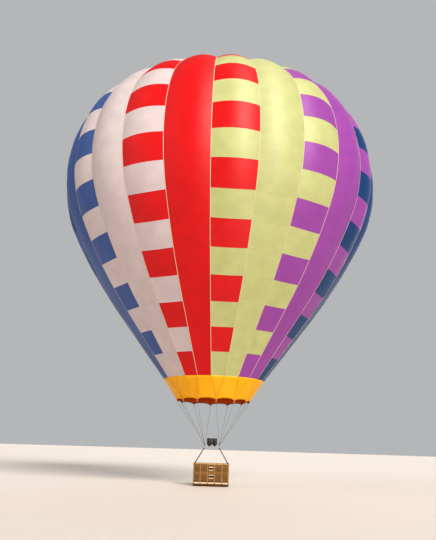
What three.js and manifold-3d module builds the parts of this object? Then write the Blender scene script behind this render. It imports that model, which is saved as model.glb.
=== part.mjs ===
// Hot air balloon: an envelope of 24 bulged gores with a mouth band and a parachute vent,
// twelve flying wires, a load frame with a gimballed double burner, and a wicker basket.
// Millimetres, +Z up. Sizes below are heights above the ground that the basket stands on;
// the whole group is lowered at the end, so that the origin lies at the middle of the hot air.

import * as THREE from 'three';
import { mergeVertices } from 'three/addons/utils/BufferGeometryUtils.js';
import Module from 'manifold-3d';

const wasm = await Module();
wasm.setup();

const degrees = (angle) => THREE.MathUtils.degToRad(angle);

// Space that touching pieces keep between them
const SEAM = 0.3;

// Envelope: the meridian that the load tapes follow, from the mouth band up to the crown
const BAND_TOP_RADIUS = 2630;
const BAND_TOP_HEIGHT = 5250;
const CONE_SLOPE = degrees(52.6);
const CONE_LENGTH = 4270;
const FLARE_RADIUS = 21760;
const FLARE_END_SLOPE = degrees(65.8);
const SHOULDER_RADIUS = 7180;
const SHOULDER_END_SLOPE = degrees(106.8);
const BROW_RADIUS = 5250;
const BROW_END_SLOPE = degrees(147);

// Gores: the cloth between two load tapes
const GORES = 24;
const GORE_ANGLE = 2 * Math.PI / GORES;
const FIRST_TAPE_AZIMUTH = degrees(-3);
const CLOTH = 10;
const BULGE = 0.227;
const BULGE_START = 3000;
const BULGE_FULL = 11900;
const BULGE_FADE = 2580;
const GORE_COLUMNS = 4;
const CONE_ROWS = 2;
const FLARE_ROWS = 3;
const SHOULDER_ROWS = 3;
const BROW_ROWS = 3;
const CROWN_ROWS = 3;

// Vent in the crown, the parachute that closes it, and the tapes and ring over it
const VENT_RADIUS = 2400;
const HEM_WIDTH = 60;
const PARACHUTE_RADIUS = 2750;
const PARACHUTE_CLEARANCE = 4.9;
const PARACHUTE_RINGS = 4;
const TAPE_WIDTH = 30;
const TAPE_THICKNESS = 8;
const TAPE_STEPS = 3;
const CROWN_RING_OUTER = 140;
const CROWN_RING_INNER = 90;
const CROWN_RING_HEIGHT = 24;

// Mouth band: a cone of heat-proof cloth whose lower edge arches between the wires
const WIRES = 12;
const BAND_TIP_RADIUS = 1840;
const BAND_TIP_HEIGHT = 4110;
const BAND_ARCH = 100;
const BAND_STEPS_PER_WIRE = 4;

// Flying wires, each hung from a tab at a tip of the mouth band
const WIRE_DIAMETER = 12;
const WIRE_SIDES = 6;
const TAB_WIDTH = 60;
const TAB_HEIGHT = 90;
const TAB_THICKNESS = 14;
const SHACKLE_WIDTH = 60;
const SHACKLE_HEIGHT = 70;

// Load frame: a square tube whose corners carry the wires above and the uprights below
const FRAME_HEIGHT = 1890;
const FRAME_HALF_WIDTH = 380;
const FRAME_HALF_DEPTH = 310;
const FRAME_TUBE = 40;

// Gimbal: a ring that tips about X, with a cradle that tips about Y
const GIMBAL_HALF_WIDTH = 320;
const GIMBAL_HALF_DEPTH = 250;
const GIMBAL_TUBE = 20;
const PIN_RADIUS = 7;
const PIN_PLAY = 1;
const PIN_SIDES = 12;
const CRADLE_WIDTH = 500;
const CRADLE_DEPTH = 180;
const CRADLE_PLATE = 12;
const CRADLE_ARM_WIDTH = 60;
const CRADLE_CLEARANCE = 6;

// Burners: a valve block under a can that holds the coil
const BURNER_SPACING = 270;
const BLOCK_WIDTH = 150;
const BLOCK_HEIGHT = 90;
const CAN_RADIUS = 122;
const CAN_HEIGHT = 330;
const CAN_WALL = 5;
const CAN_SIDES = 24;
const COIL_OUTER = 100;
const COIL_INNER = 78;
const COIL_HEIGHT = 260;
const LEVER_REACH = 150;
const LEVER_WIDTH = 24;
const LEVER_THICKNESS = 10;

// Basket: outer size of the wicker walls, and the layers from the ground up
const BASKET_WIDTH = 1760;
const BASKET_DEPTH = 1230;
const BASKET_CORNER = 110;
const WALL_THICKNESS = 35;
const SKID_WIDTH = 70;
const SKID_HEIGHT = 45;
const FLOOR_THICKNESS = 22;
const SCUFF_BOTTOM = 25;
const SCUFF_TOP = 115;
const RAIL_TOP = 195;
const BAND_PROUD = 10;
const WALL_TOP = 1030;
const RIM_HEIGHT = 60;
const RIM_OVERHANG = 20;
const RIM_WIDTH = 65;
const RIM_ROUNDING = 15;
const POST_WIDTH = 50;
const LONG_WALL_POSTS = [-540, -180, 180, 540];
const END_WALL_POSTS = [-360, 0, 360];
const CORNER_STEPS = 4;

// Footholes through both long walls: in the middle of the front one, and off it in the back one
const FOOTHOLE_WIDTH = 200;
const FOOTHOLE_DEPTH = 90;
const FOOTHOLE_HEIGHTS = [460, 835];
const BACK_FOOTHOLE_X = 360;

// Uprights from the rim to the load frame
const UPRIGHT_RADIUS = 22;
const UPRIGHT_SIDES = 10;

// Fuel cylinders that stand in the corners of the basket
const CYLINDER_RADIUS = 150;
const CYLINDER_SHOULDER = 720;
const CYLINDER_COLLAR_RADIUS = 90;
const CYLINDER_TOP = 860;
const CYLINDER_FOOT_RADIUS = 130;
const CYLINDER_TO_WALL = 8;
const CYLINDER_SIDES = 20;

// Height of the origin, at the middle of the hot air
const ORIGIN_HEIGHT = 15000;

// Materials
const cloth = (color) => new THREE.MeshStandardMaterial({ color, roughness: 0.62, metalness: 0, name: 'cloth' });
const red = cloth(0xe5141c);
const lime = cloth(0xd9d985);
const violet = cloth(0xa8489e);
const navy = cloth(0x0b4674);
const blue = cloth(0x4a6fae);
const white = cloth(0xe8d8d2);
const yellow = cloth(0xffb000);
const tapeCloth = cloth(0xd9c9b8);
const steel = new THREE.MeshStandardMaterial({ color: 0xa9adb0, roughness: 0.3, metalness: 1 });
const darkMetal = new THREE.MeshStandardMaterial({ color: 0x4c4f54, roughness: 0.45, metalness: 0.9 });
const wicker = new THREE.MeshStandardMaterial({ color: 0xa9783c, roughness: 0.75, metalness: 0 });
const paleLeather = new THREE.MeshStandardMaterial({ color: 0xc9a068, roughness: 0.6, metalness: 0 });
const darkLeather = new THREE.MeshStandardMaterial({ color: 0x3a2a1e, roughness: 0.65, metalness: 0 });
const plywood = new THREE.MeshStandardMaterial({ color: 0xb08a58, roughness: 0.7, metalness: 0 });
const jacket = new THREE.MeshStandardMaterial({ color: 0x26292e, roughness: 0.8, metalness: 0 });

const balloon = new THREE.Group();
balloon.position.z = -ORIGIN_HEIGHT;

function add(name, geometry, material) {
  const mesh = new THREE.Mesh(geometry, material);
  mesh.name = name;
  balloon.add(mesh);
  return mesh;
}

// Solids for joining and cutting
function solidOf(geometry) {
  const bare = geometry.clone();
  bare.deleteAttribute('normal');
  bare.deleteAttribute('uv');
  const merged = mergeVertices(bare, 1e-4);
  return new wasm.Manifold(new wasm.Mesh({
    numProp: 3,
    vertProperties: new Float32Array(merged.attributes.position.array),
    triVerts: new Uint32Array(merged.index.array),
  }));
}

function geometryOf(solid) {
  const mesh = solid.getMesh();
  const geometry = new THREE.BufferGeometry();
  geometry.setAttribute('position', new THREE.BufferAttribute(mesh.vertProperties, 3));
  geometry.setIndex(new THREE.BufferAttribute(mesh.triVerts, 1));
  return geometry;
}

function joined(geometries) {
  const [first, ...rest] = geometries.map(solidOf);
  return rest.reduce((sum, piece) => sum.add(piece), first);
}

function box(width, depth, height, x, y, z) {
  return new THREE.BoxGeometry(width, depth, height).translate(x, y, z);
}

function rod(from, to, radius, sides) {
  const axis = to.clone().sub(from);
  const turn = new THREE.Quaternion().setFromUnitVectors(new THREE.Vector3(0, 1, 0), axis.clone().normalize());
  const middle = from.clone().add(to).multiplyScalar(0.5);
  return new THREE.CylinderGeometry(radius, radius, axis.length(), sides)
    .applyQuaternion(turn)
    .translate(middle.x, middle.y, middle.z);
}

// Turns a profile of (radius, height) pairs about the upright axis
function turned(profile, segments, startAzimuth = 0) {
  const points = profile.map(([radius, height]) => new THREE.Vector2(radius, height));
  return new THREE.LatheGeometry(points, segments)
    .rotateX(Math.PI / 2)
    .rotateZ(startAzimuth);
}

// A rectangle with round corners, as an outline or as the hole of a ring
function roundedRectangle(width, depth, corner, Kind = THREE.Shape) {
  const x = width / 2;
  const y = depth / 2;
  const outline = new Kind();
  outline.moveTo(x - corner, -y);
  outline.absarc(x - corner, -y + corner, corner, -Math.PI / 2, 0);
  outline.absarc(x - corner, y - corner, corner, 0, Math.PI / 2);
  outline.absarc(-x + corner, y - corner, corner, Math.PI / 2, Math.PI);
  outline.absarc(-x + corner, -y + corner, corner, Math.PI, 1.5 * Math.PI);
  return outline;
}

function extruded(shape, height, z) {
  const options = { depth: height, bevelEnabled: false, curveSegments: CORNER_STEPS };
  return new THREE.ExtrudeGeometry(shape, options).translate(0, 0, z);
}

// Azimuths run from the front (-Y) towards +X
function around(azimuth, radius, height) {
  return new THREE.Vector3(radius * Math.sin(azimuth), -radius * Math.cos(azimuth), height);
}

// A closed shell between an outer and an inner grid of points, both [row][column]
function shell(outer, inner, wraps = false) {
  const rows = outer.length - 1;
  const columns = outer[0].length - (wraps ? 0 : 1);
  const perRow = outer[0].length;
  const points = [...outer.flat(), ...inner.flat()];
  const innerStart = outer.length * perRow;
  const index = (layer, row, column) => layer * innerStart + row * perRow + column % perRow;
  const faces = [];
  const quad = (a, b, c, d) => faces.push(a, b, c, a, c, d);
  for (let row = 0; row < rows; row++) {
    for (let column = 0; column < columns; column++) {
      quad(index(0, row, column), index(0, row, column + 1), index(0, row + 1, column + 1), index(0, row + 1, column));
      quad(index(1, row, column), index(1, row + 1, column), index(1, row + 1, column + 1), index(1, row, column + 1));
    }
  }
  for (let column = 0; column < columns; column++) {
    quad(index(0, 0, column), index(1, 0, column), index(1, 0, column + 1), index(0, 0, column + 1));
    quad(index(0, rows, column), index(0, rows, column + 1), index(1, rows, column + 1), index(1, rows, column));
  }
  if (!wraps) {
    for (let row = 0; row < rows; row++) {
      quad(index(0, row, 0), index(0, row + 1, 0), index(1, row + 1, 0), index(1, row, 0));
      quad(index(0, row, columns), index(1, row, columns), index(1, row + 1, columns), index(0, row + 1, columns));
    }
  }
  const geometry = new THREE.BufferGeometry();
  geometry.setAttribute('position', new THREE.Float32BufferAttribute(points.flatMap((p) => [p.x, p.y, p.z]), 3));
  geometry.setIndex(faces);
  return geometry;
}

// Meridian: straight cone, shallow flare, round shoulder, tighter brow, and a crown centred on the axis
const bend = (start, radius, slope) => ({
  radius: start.radius + radius * (Math.sin(slope) - Math.sin(start.slope)),
  height: start.height + radius * (Math.cos(start.slope) - Math.cos(slope)),
  slope,
});
const CONE_END = {
  radius: BAND_TOP_RADIUS + CONE_LENGTH * Math.cos(CONE_SLOPE),
  height: BAND_TOP_HEIGHT + CONE_LENGTH * Math.sin(CONE_SLOPE),
  slope: CONE_SLOPE,
};
const FLARE_END = bend(CONE_END, FLARE_RADIUS, FLARE_END_SLOPE);
const SHOULDER_END = bend(FLARE_END, SHOULDER_RADIUS, SHOULDER_END_SLOPE);
const BROW_END = bend(SHOULDER_END, BROW_RADIUS, BROW_END_SLOPE);
const CROWN_RADIUS = BROW_END.radius / Math.sin(BROW_END_SLOPE);
const FLARE_LENGTH = FLARE_RADIUS * (FLARE_END_SLOPE - CONE_SLOPE);
const SHOULDER_LENGTH = SHOULDER_RADIUS * (SHOULDER_END_SLOPE - FLARE_END_SLOPE);
const BROW_LENGTH = BROW_RADIUS * (BROW_END_SLOPE - SHOULDER_END_SLOPE);
const BROW_START = CONE_LENGTH + FLARE_LENGTH + SHOULDER_LENGTH;
const CROWN_START = BROW_START + BROW_LENGTH;
const CROWN_CENTRE_HEIGHT = BROW_END.height + CROWN_RADIUS * Math.cos(BROW_END_SLOPE);
const CROWN_TOP = CROWN_CENTRE_HEIGHT + CROWN_RADIUS;
const crownSlopeAt = (radius) => Math.PI - Math.asin(radius / CROWN_RADIUS);
const VENT_SLOPE = crownSlopeAt(VENT_RADIUS);
const VENT_DISTANCE = CROWN_START + CROWN_RADIUS * (VENT_SLOPE - BROW_END_SLOPE);
const LAP_DISTANCE = CROWN_START + CROWN_RADIUS * (crownSlopeAt(PARACHUTE_RADIUS) - BROW_END_SLOPE);

// The meridian's point and slope at a distance along it from the top of the mouth band
function meridian(distance) {
  if (distance <= CONE_LENGTH) {
    return {
      radius: BAND_TOP_RADIUS + distance * Math.cos(CONE_SLOPE),
      height: BAND_TOP_HEIGHT + distance * Math.sin(CONE_SLOPE),
      slope: CONE_SLOPE,
    };
  }
  const pastCone = distance - CONE_LENGTH;
  if (pastCone <= FLARE_LENGTH) {
    return bend(CONE_END, FLARE_RADIUS, CONE_SLOPE + pastCone / FLARE_RADIUS);
  }
  const pastFlare = pastCone - FLARE_LENGTH;
  if (pastFlare <= SHOULDER_LENGTH) {
    return bend(FLARE_END, SHOULDER_RADIUS, FLARE_END_SLOPE + pastFlare / SHOULDER_RADIUS);
  }
  const pastShoulder = pastFlare - SHOULDER_LENGTH;
  if (pastShoulder <= BROW_LENGTH) {
    return bend(SHOULDER_END, BROW_RADIUS, SHOULDER_END_SLOPE + pastShoulder / BROW_RADIUS);
  }
  return bend(BROW_END, CROWN_RADIUS, BROW_END_SLOPE + (pastShoulder - BROW_LENGTH) / CROWN_RADIUS);
}

// How far a gore's middle stands out from the chord between its tapes, as a share of half that chord
function bulgeAt(distance) {
  const swell = THREE.MathUtils.smoothstep(distance, BULGE_START, BULGE_FULL);
  const tuck = THREE.MathUtils.smoothstep(VENT_DISTANCE - distance, 0, BULGE_FADE);
  return BULGE * swell * tuck;
}

// Colours of the gores in turn from the front towards +X: every second one is of one colour,
// and each between has panels of its neighbours' colours and is shown in the first of them
const GORE_COLOURS = [
  red, lime, lime, violet, violet, navy,
  navy, red, red, lime, lime, blue,
  blue, white, white, violet, violet, navy,
  navy, blue, blue, white, white, red,
];

function goreStations() {
  const parts = [
    [SEAM / 2, CONE_LENGTH, CONE_ROWS],
    [CONE_LENGTH, CONE_LENGTH + FLARE_LENGTH, FLARE_ROWS],
    [CONE_LENGTH + FLARE_LENGTH, BROW_START, SHOULDER_ROWS],
    [BROW_START, CROWN_START, BROW_ROWS],
    [CROWN_START, LAP_DISTANCE, CROWN_ROWS],
    [LAP_DISTANCE, VENT_DISTANCE - SEAM / 2, 1],
  ];
  const stations = [SEAM / 2];
  for (const [from, to, rows] of parts) {
    for (let row = 1; row <= rows; row++) {
      stations.push(from + (to - from) * row / rows);
    }
  }
  return stations;
}

function gore(number) {
  const middle = FIRST_TAPE_AZIMUTH + (number + 0.5) * GORE_ANGLE;
  const surface = (depth) => goreStations().map((distance) => {
    const { radius, height, slope } = meridian(distance);
    const r = radius - depth * Math.sin(slope);
    const z = height + depth * Math.cos(slope);
    const halfChord = r * Math.sin(GORE_ANGLE / 2) - SEAM / 2;
    const toChord = r * Math.cos(GORE_ANGLE / 2);
    const row = [];
    for (let column = 0; column <= GORE_COLUMNS; column++) {
      const across = 2 * column / GORE_COLUMNS - 1;
      const out = bulgeAt(distance) * halfChord * (1 - across * across);
      const forward = toChord + out * Math.sin(slope);
      const sideways = across * halfChord;
      const azimuth = middle + Math.atan2(sideways, forward);
      row.push(around(azimuth, Math.hypot(sideways, forward), z - out * Math.cos(slope)));
    }
    return row;
  });
  return shell(surface(0), surface(CLOTH));
}

GORE_COLOURS.forEach((material, number) => {
  const label = String(number + 1).padStart(2, '0');
  add(`gore_${label}`, gore(number), material);
});

// Mouth band, with a tip below the middle of every second gore
const WIRE_ANGLE = 2 * Math.PI / WIRES;
const FIRST_WIRE_AZIMUTH = FIRST_TAPE_AZIMUTH + GORE_ANGLE / 2;

function mouthBand() {
  const steps = WIRES * BAND_STEPS_PER_WIRE;
  const drop = BAND_TOP_HEIGHT - BAND_TIP_HEIGHT;
  const slope = Math.atan2(drop, BAND_TOP_RADIUS - BAND_TIP_RADIUS);
  const surface = (depth) => {
    const top = [];
    const bottom = [];
    for (let step = 0; step < steps; step++) {
      const azimuth = FIRST_WIRE_AZIMUTH + step * 2 * Math.PI / steps;
      const fromTape = (azimuth - FIRST_TAPE_AZIMUTH) % GORE_ANGLE;
      const toChord = Math.cos(GORE_ANGLE / 2) / Math.cos(fromTape - GORE_ANGLE / 2);
      const share = (step % BAND_STEPS_PER_WIRE) / BAND_STEPS_PER_WIRE;
      const arch = BAND_ARCH * 4 * share * (1 - share);
      const radiusAt = (height) => {
        const up = (height - BAND_TIP_HEIGHT) / drop;
        return THREE.MathUtils.lerp(BAND_TIP_RADIUS, BAND_TOP_RADIUS, up) * toChord - depth / Math.sin(slope);
      };
      const topHeight = BAND_TOP_HEIGHT - SEAM / 2;
      top.push(around(azimuth, radiusAt(topHeight), topHeight));
      bottom.push(around(azimuth, radiusAt(BAND_TIP_HEIGHT + arch), BAND_TIP_HEIGHT + arch));
    }
    return [bottom, top];
  };
  return shell(surface(0), surface(CLOTH), true);
}

add('mouth_band', mouthBand(), yellow);

// Parachute vent: a cloth cap that lies just under the crown and covers the opening from inside
function parachute() {
  const outside = CROWN_RADIUS - CLOTH - PARACHUTE_CLEARANCE;
  const inside = outside - CLOTH;
  const radii = [];
  for (let ring = 0; ring <= PARACHUTE_RINGS; ring++) {
    radii.push(VENT_RADIUS * ring / PARACHUTE_RINGS);
  }
  radii.push(PARACHUTE_RADIUS);
  const angles = radii.map((radius) => Math.asin(radius / CROWN_RADIUS));
  const onSphere = (size) => (angle) => [size * Math.sin(angle), CROWN_CENTRE_HEIGHT + size * Math.cos(angle)];
  const underside = angles.map(onSphere(inside));
  const topside = angles.map(onSphere(outside)).reverse();
  return turned([...underside, ...topside], GORES, FIRST_TAPE_AZIMUTH);
}

add('parachute_vent', parachute(), red);

// Crown: the vent's hem, a load tape over each seam, and the metal ring that gathers them
function crownWeb() {
  const point = (radius, slope) => [radius * Math.sin(slope), CROWN_CENTRE_HEIGHT - radius * Math.cos(slope)];
  const hemEnd = crownSlopeAt(VENT_RADIUS - HEM_WIDTH);
  const hemStart = VENT_SLOPE + SEAM / 2 / CROWN_RADIUS;
  const hem = turned([
    point(CROWN_RADIUS - CLOTH, hemStart),
    point(CROWN_RADIUS, hemStart),
    point(CROWN_RADIUS, hemEnd),
    point(CROWN_RADIUS - CLOTH, hemEnd),
    point(CROWN_RADIUS - CLOTH, hemStart),
  ], GORES, FIRST_TAPE_AZIMUTH);
  const ringBottom = CROWN_TOP - TAPE_THICKNESS;
  const ringTop = ringBottom + CROWN_RING_HEIGHT;
  const ring = turned([
    [CROWN_RING_INNER, ringBottom],
    [CROWN_RING_OUTER, ringBottom],
    [CROWN_RING_OUTER, ringTop],
    [CROWN_RING_INNER, ringTop],
    [CROWN_RING_INNER, ringBottom],
  ], GORES, FIRST_TAPE_AZIMUTH);
  const tapes = [];
  const tapeStart = crownSlopeAt(VENT_RADIUS - HEM_WIDTH / 2);
  const tapeEnd = crownSlopeAt((CROWN_RING_INNER + CROWN_RING_OUTER) / 2);
  const slopes = [];
  for (let step = 0; step <= TAPE_STEPS; step++) {
    slopes.push(THREE.MathUtils.lerp(tapeStart, tapeEnd, step / TAPE_STEPS));
  }
  const topside = slopes.map((slope) => point(CROWN_RADIUS, slope));
  const underside = slopes.map((slope) => point(CROWN_RADIUS - TAPE_THICKNESS, slope)).reverse();
  const outline = new THREE.Shape([...topside, ...underside].map(([x, y]) => new THREE.Vector2(x, y)));
  for (let number = 0; number < GORES; number++) {
    const tape = new THREE.ExtrudeGeometry(outline, { depth: TAPE_WIDTH, bevelEnabled: false })
      .translate(0, 0, -TAPE_WIDTH / 2)
      .rotateX(Math.PI / 2)
      .rotateZ(FIRST_TAPE_AZIMUTH + number * GORE_ANGLE - Math.PI / 2);
    tapes.push(tape);
  }
  return geometryOf(joined([hem, ring, ...tapes]));
}

add('crown_web', crownWeb(), tapeCloth);

// Corners that the wires and uprights share, with the azimuths of their three wires
const CORNERS = [
  { name: 'front_right', x: 1, y: -1, firstWire: 0 },
  { name: 'back_right', x: 1, y: 1, firstWire: 3 },
  { name: 'back_left', x: -1, y: 1, firstWire: 6 },
  { name: 'front_left', x: -1, y: -1, firstWire: 9 },
];
const FRAME_TOP = FRAME_HEIGHT + FRAME_TUBE / 2;
const FRAME_BOTTOM = FRAME_HEIGHT - FRAME_TUBE / 2;

function flyingWires(corner) {
  const foot = new THREE.Vector3(corner.x * FRAME_HALF_WIDTH, corner.y * FRAME_HALF_DEPTH, FRAME_TOP + SEAM);
  const tabRadius = BAND_TIP_RADIUS * Math.cos(GORE_ANGLE / 2) - CLOTH / 2;
  const shackle = box(SHACKLE_WIDTH, SHACKLE_WIDTH, SHACKLE_HEIGHT, foot.x, foot.y, foot.z + SHACKLE_HEIGHT / 2);
  const pieces = [shackle];
  for (let count = 0; count < 3; count++) {
    const azimuth = FIRST_WIRE_AZIMUTH + (corner.firstWire + count) * WIRE_ANGLE;
    const tabTop = BAND_TIP_HEIGHT - SEAM;
    const tab = box(TAB_WIDTH, TAB_THICKNESS, TAB_HEIGHT, 0, 0, 0)
      .rotateZ(azimuth)
      .translate(...around(azimuth, tabRadius, tabTop - TAB_HEIGHT / 2).toArray());
    const top = around(azimuth, tabRadius, tabTop - TAB_HEIGHT / 2);
    const bottom = foot.clone().add(new THREE.Vector3(0, 0, SHACKLE_HEIGHT * 0.6));
    pieces.push(tab, rod(bottom, top, WIRE_DIAMETER / 2, WIRE_SIDES));
  }
  return geometryOf(joined(pieces));
}

for (const corner of CORNERS) {
  add(`flying_wires_${corner.name}`, flyingWires(corner), steel);
}

// A rectangular ring of square tube about the upright axis
function tubeRing(halfWidth, halfDepth, tube, height) {
  const outline = roundedRectangle(2 * halfWidth + tube, 2 * halfDepth + tube, tube / 2);
  outline.holes.push(roundedRectangle(2 * halfWidth - tube, 2 * halfDepth - tube, tube / 4, THREE.Path));
  return new THREE.ExtrudeGeometry(outline, { depth: tube, bevelEnabled: false, curveSegments: 2 })
    .translate(0, 0, height - tube / 2);
}

const pinAlong = (x, y, radius) => rod(
  new THREE.Vector3(-x, -y, FRAME_HEIGHT),
  new THREE.Vector3(x, y, FRAME_HEIGHT),
  radius,
  PIN_SIDES,
);

function loadFrame() {
  const frame = solidOf(tubeRing(FRAME_HALF_WIDTH, FRAME_HALF_DEPTH, FRAME_TUBE, FRAME_HEIGHT));
  return geometryOf(frame.subtract(solidOf(pinAlong(FRAME_HALF_WIDTH, 0, PIN_RADIUS + PIN_PLAY))));
}

add('load_frame', loadFrame(), darkMetal);

function gimbalRing() {
  const ring = solidOf(tubeRing(GIMBAL_HALF_WIDTH, GIMBAL_HALF_DEPTH, GIMBAL_TUBE, FRAME_HEIGHT));
  const reach = FRAME_HALF_WIDTH - FRAME_TUBE / 4;
  const pins = solidOf(pinAlong(reach, 0, PIN_RADIUS));
  const inside = solidOf(box(2 * GIMBAL_HALF_WIDTH, 4 * PIN_RADIUS, 4 * PIN_RADIUS, 0, 0, FRAME_HEIGHT));
  const bores = solidOf(pinAlong(0, GIMBAL_HALF_DEPTH + GIMBAL_TUBE, PIN_RADIUS + PIN_PLAY));
  return geometryOf(ring.add(pins.subtract(inside)).subtract(bores));
}

add('gimbal_ring', gimbalRing(), steel);

function burnerCradle() {
  const armLength = 2 * (GIMBAL_HALF_DEPTH - GIMBAL_TUBE / 2 - CRADLE_CLEARANCE);
  const plate = box(CRADLE_WIDTH, CRADLE_DEPTH, CRADLE_PLATE, 0, 0, FRAME_HEIGHT);
  const arm = box(CRADLE_ARM_WIDTH, armLength, GIMBAL_TUBE, 0, 0, FRAME_HEIGHT - (GIMBAL_TUBE - CRADLE_PLATE) / 2);
  const pins = pinAlong(0, GIMBAL_HALF_DEPTH + GIMBAL_TUBE / 2, PIN_RADIUS);
  const below = box(CRADLE_ARM_WIDTH, armLength, GIMBAL_TUBE, 0, 0, FRAME_HEIGHT + CRADLE_PLATE / 2 + GIMBAL_TUBE / 2);
  return geometryOf(joined([plate, arm, pins]).subtract(solidOf(below)));
}

add('burner_cradle', burnerCradle(), darkMetal);

const CRADLE_TOP = FRAME_HEIGHT + CRADLE_PLATE / 2;
const CAN_BOTTOM = CRADLE_TOP + SEAM + BLOCK_HEIGHT;
const SIDES = [
  { name: 'left', x: -1 },
  { name: 'right', x: 1 },
];

function burner() {
  const block = box(BLOCK_WIDTH, BLOCK_WIDTH, BLOCK_HEIGHT, 0, 0, CRADLE_TOP + SEAM + BLOCK_HEIGHT / 2);
  const lever = box(
    LEVER_WIDTH,
    LEVER_REACH,
    LEVER_THICKNESS,
    0,
    -BLOCK_WIDTH / 2 - LEVER_REACH / 2 + LEVER_THICKNESS,
    CRADLE_TOP + SEAM + BLOCK_HEIGHT / 2,
  );
  const can = turned([
    [0, CAN_BOTTOM - CAN_WALL],
    [CAN_RADIUS, CAN_BOTTOM - CAN_WALL],
    [CAN_RADIUS, CAN_BOTTOM + CAN_HEIGHT],
    [CAN_RADIUS - CAN_WALL, CAN_BOTTOM + CAN_HEIGHT],
    [CAN_RADIUS - CAN_WALL, CAN_BOTTOM],
    [0, CAN_BOTTOM],
  ], CAN_SIDES);
  return geometryOf(joined([block, lever, can]));
}

function coil() {
  const bottom = CAN_BOTTOM + SEAM;
  return turned([
    [COIL_INNER, bottom],
    [COIL_OUTER, bottom],
    [COIL_OUTER, bottom + COIL_HEIGHT],
    [COIL_INNER, bottom + COIL_HEIGHT],
    [COIL_INNER, bottom],
  ], CAN_SIDES);
}

for (const side of SIDES) {
  const x = side.x * BURNER_SPACING / 2;
  add(`burner_${side.name}`, burner().translate(x, 0, 0), steel);
  add(`burner_coil_${side.name}`, coil().translate(x, 0, 0), steel);
}

// Basket floor on three skids
const FLOOR_BOTTOM = SKID_HEIGHT + SEAM;
const FLOOR_TOP = FLOOR_BOTTOM + FLOOR_THICKNESS;
const WALL_BOTTOM = FLOOR_TOP + SEAM;
const SKIDS = [
  { name: 'skid_front', y: -0.38 * BASKET_DEPTH },
  { name: 'skid_middle', y: 0 },
  { name: 'skid_back', y: 0.38 * BASKET_DEPTH },
];
for (const skid of SKIDS) {
  const length = BASKET_WIDTH - 2 * BASKET_CORNER;
  add(skid.name, box(length, SKID_WIDTH, SKID_HEIGHT, 0, skid.y, SKID_HEIGHT / 2), plywood);
}
add('basket_floor', extruded(roundedRectangle(BASKET_WIDTH, BASKET_DEPTH, BASKET_CORNER), FLOOR_THICKNESS, FLOOR_BOTTOM), plywood);

// A ring that follows the basket's outline, between two offsets out from the wicker
function basketRing(outside, inside, bottom, top) {
  const outline = roundedRectangle(BASKET_WIDTH + 2 * outside, BASKET_DEPTH + 2 * outside, BASKET_CORNER + outside);
  outline.holes.push(roundedRectangle(
    BASKET_WIDTH + 2 * inside,
    BASKET_DEPTH + 2 * inside,
    BASKET_CORNER + inside,
    THREE.Path,
  ));
  return extruded(outline, top - bottom, bottom);
}

add('basket_scuff_band', basketRing(BAND_PROUD, SEAM, SCUFF_BOTTOM, SCUFF_TOP), darkLeather);
add('basket_lower_rail', basketRing(BAND_PROUD, SEAM, SCUFF_TOP + SEAM, RAIL_TOP), paleLeather);

// Walls: a ring of wicker cut into two long and two short sides, with posts on the long ones
const wallSolid = solidOf(basketRing(0, -WALL_THICKNESS, WALL_BOTTOM, WALL_TOP));
const WALL_SPLIT = BASKET_WIDTH / 2 - BASKET_CORNER;
const POST_LENGTH = WALL_TOP - RAIL_TOP - SEAM;

function longWall(sign, footholeX) {
  const y = sign * BASKET_DEPTH / 2;
  const wallHeight = WALL_TOP - WALL_BOTTOM;
  const keep = box(2 * (WALL_SPLIT - SEAM / 2), 4 * WALL_THICKNESS, 2 * wallHeight, 0, y, WALL_BOTTOM + wallHeight / 2);
  let wall = wallSolid.intersect(solidOf(keep));
  for (const x of LONG_WALL_POSTS) {
    const post = box(POST_WIDTH, 2 * BAND_PROUD, POST_LENGTH, x, y, RAIL_TOP + SEAM + POST_LENGTH / 2);
    wall = wall.add(solidOf(post));
  }
  for (const height of FOOTHOLE_HEIGHTS) {
    wall = wall.subtract(solidOf(box(FOOTHOLE_WIDTH, 6 * WALL_THICKNESS, FOOTHOLE_DEPTH, footholeX, y, height)));
  }
  return geometryOf(wall);
}

function endWall(sign) {
  const x = sign * BASKET_WIDTH / 2;
  const reach = BASKET_WIDTH / 2 - WALL_SPLIT - SEAM / 2;
  const keep = box(2 * reach, 2 * BASKET_DEPTH, 4 * WALL_TOP, x, 0, 0);
  let wall = wallSolid.intersect(solidOf(keep));
  for (const y of END_WALL_POSTS) {
    const post = box(2 * BAND_PROUD, POST_WIDTH, POST_LENGTH, x, y, RAIL_TOP + SEAM + POST_LENGTH / 2);
    wall = wall.add(solidOf(post));
  }
  return geometryOf(wall);
}

add('wall_front', longWall(-1, 0), wicker);
add('wall_back', longWall(1, BACK_FOOTHOLE_X), wicker);
add('wall_left', endWall(-1), wicker);
add('wall_right', endWall(1), wicker);

// Padded rim on top of the walls
const RIM_BOTTOM = WALL_TOP + SEAM;
const RIM_TOP = RIM_BOTTOM + RIM_HEIGHT;

function rim() {
  const outer = RIM_OVERHANG - RIM_ROUNDING;
  const inner = RIM_OVERHANG - RIM_WIDTH + RIM_ROUNDING;
  const outline = roundedRectangle(BASKET_WIDTH + 2 * outer, BASKET_DEPTH + 2 * outer, BASKET_CORNER + outer);
  outline.holes.push(roundedRectangle(
    BASKET_WIDTH + 2 * inner,
    BASKET_DEPTH + 2 * inner,
    BASKET_CORNER + inner,
    THREE.Path,
  ));
  return new THREE.ExtrudeGeometry(outline, {
    depth: RIM_HEIGHT - 2 * RIM_ROUNDING,
    bevelThickness: RIM_ROUNDING,
    bevelSize: RIM_ROUNDING,
    bevelSegments: 1,
    curveSegments: CORNER_STEPS,
  }).translate(0, 0, RIM_BOTTOM + RIM_ROUNDING);
}

add('basket_rim', rim(), paleLeather);

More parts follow.
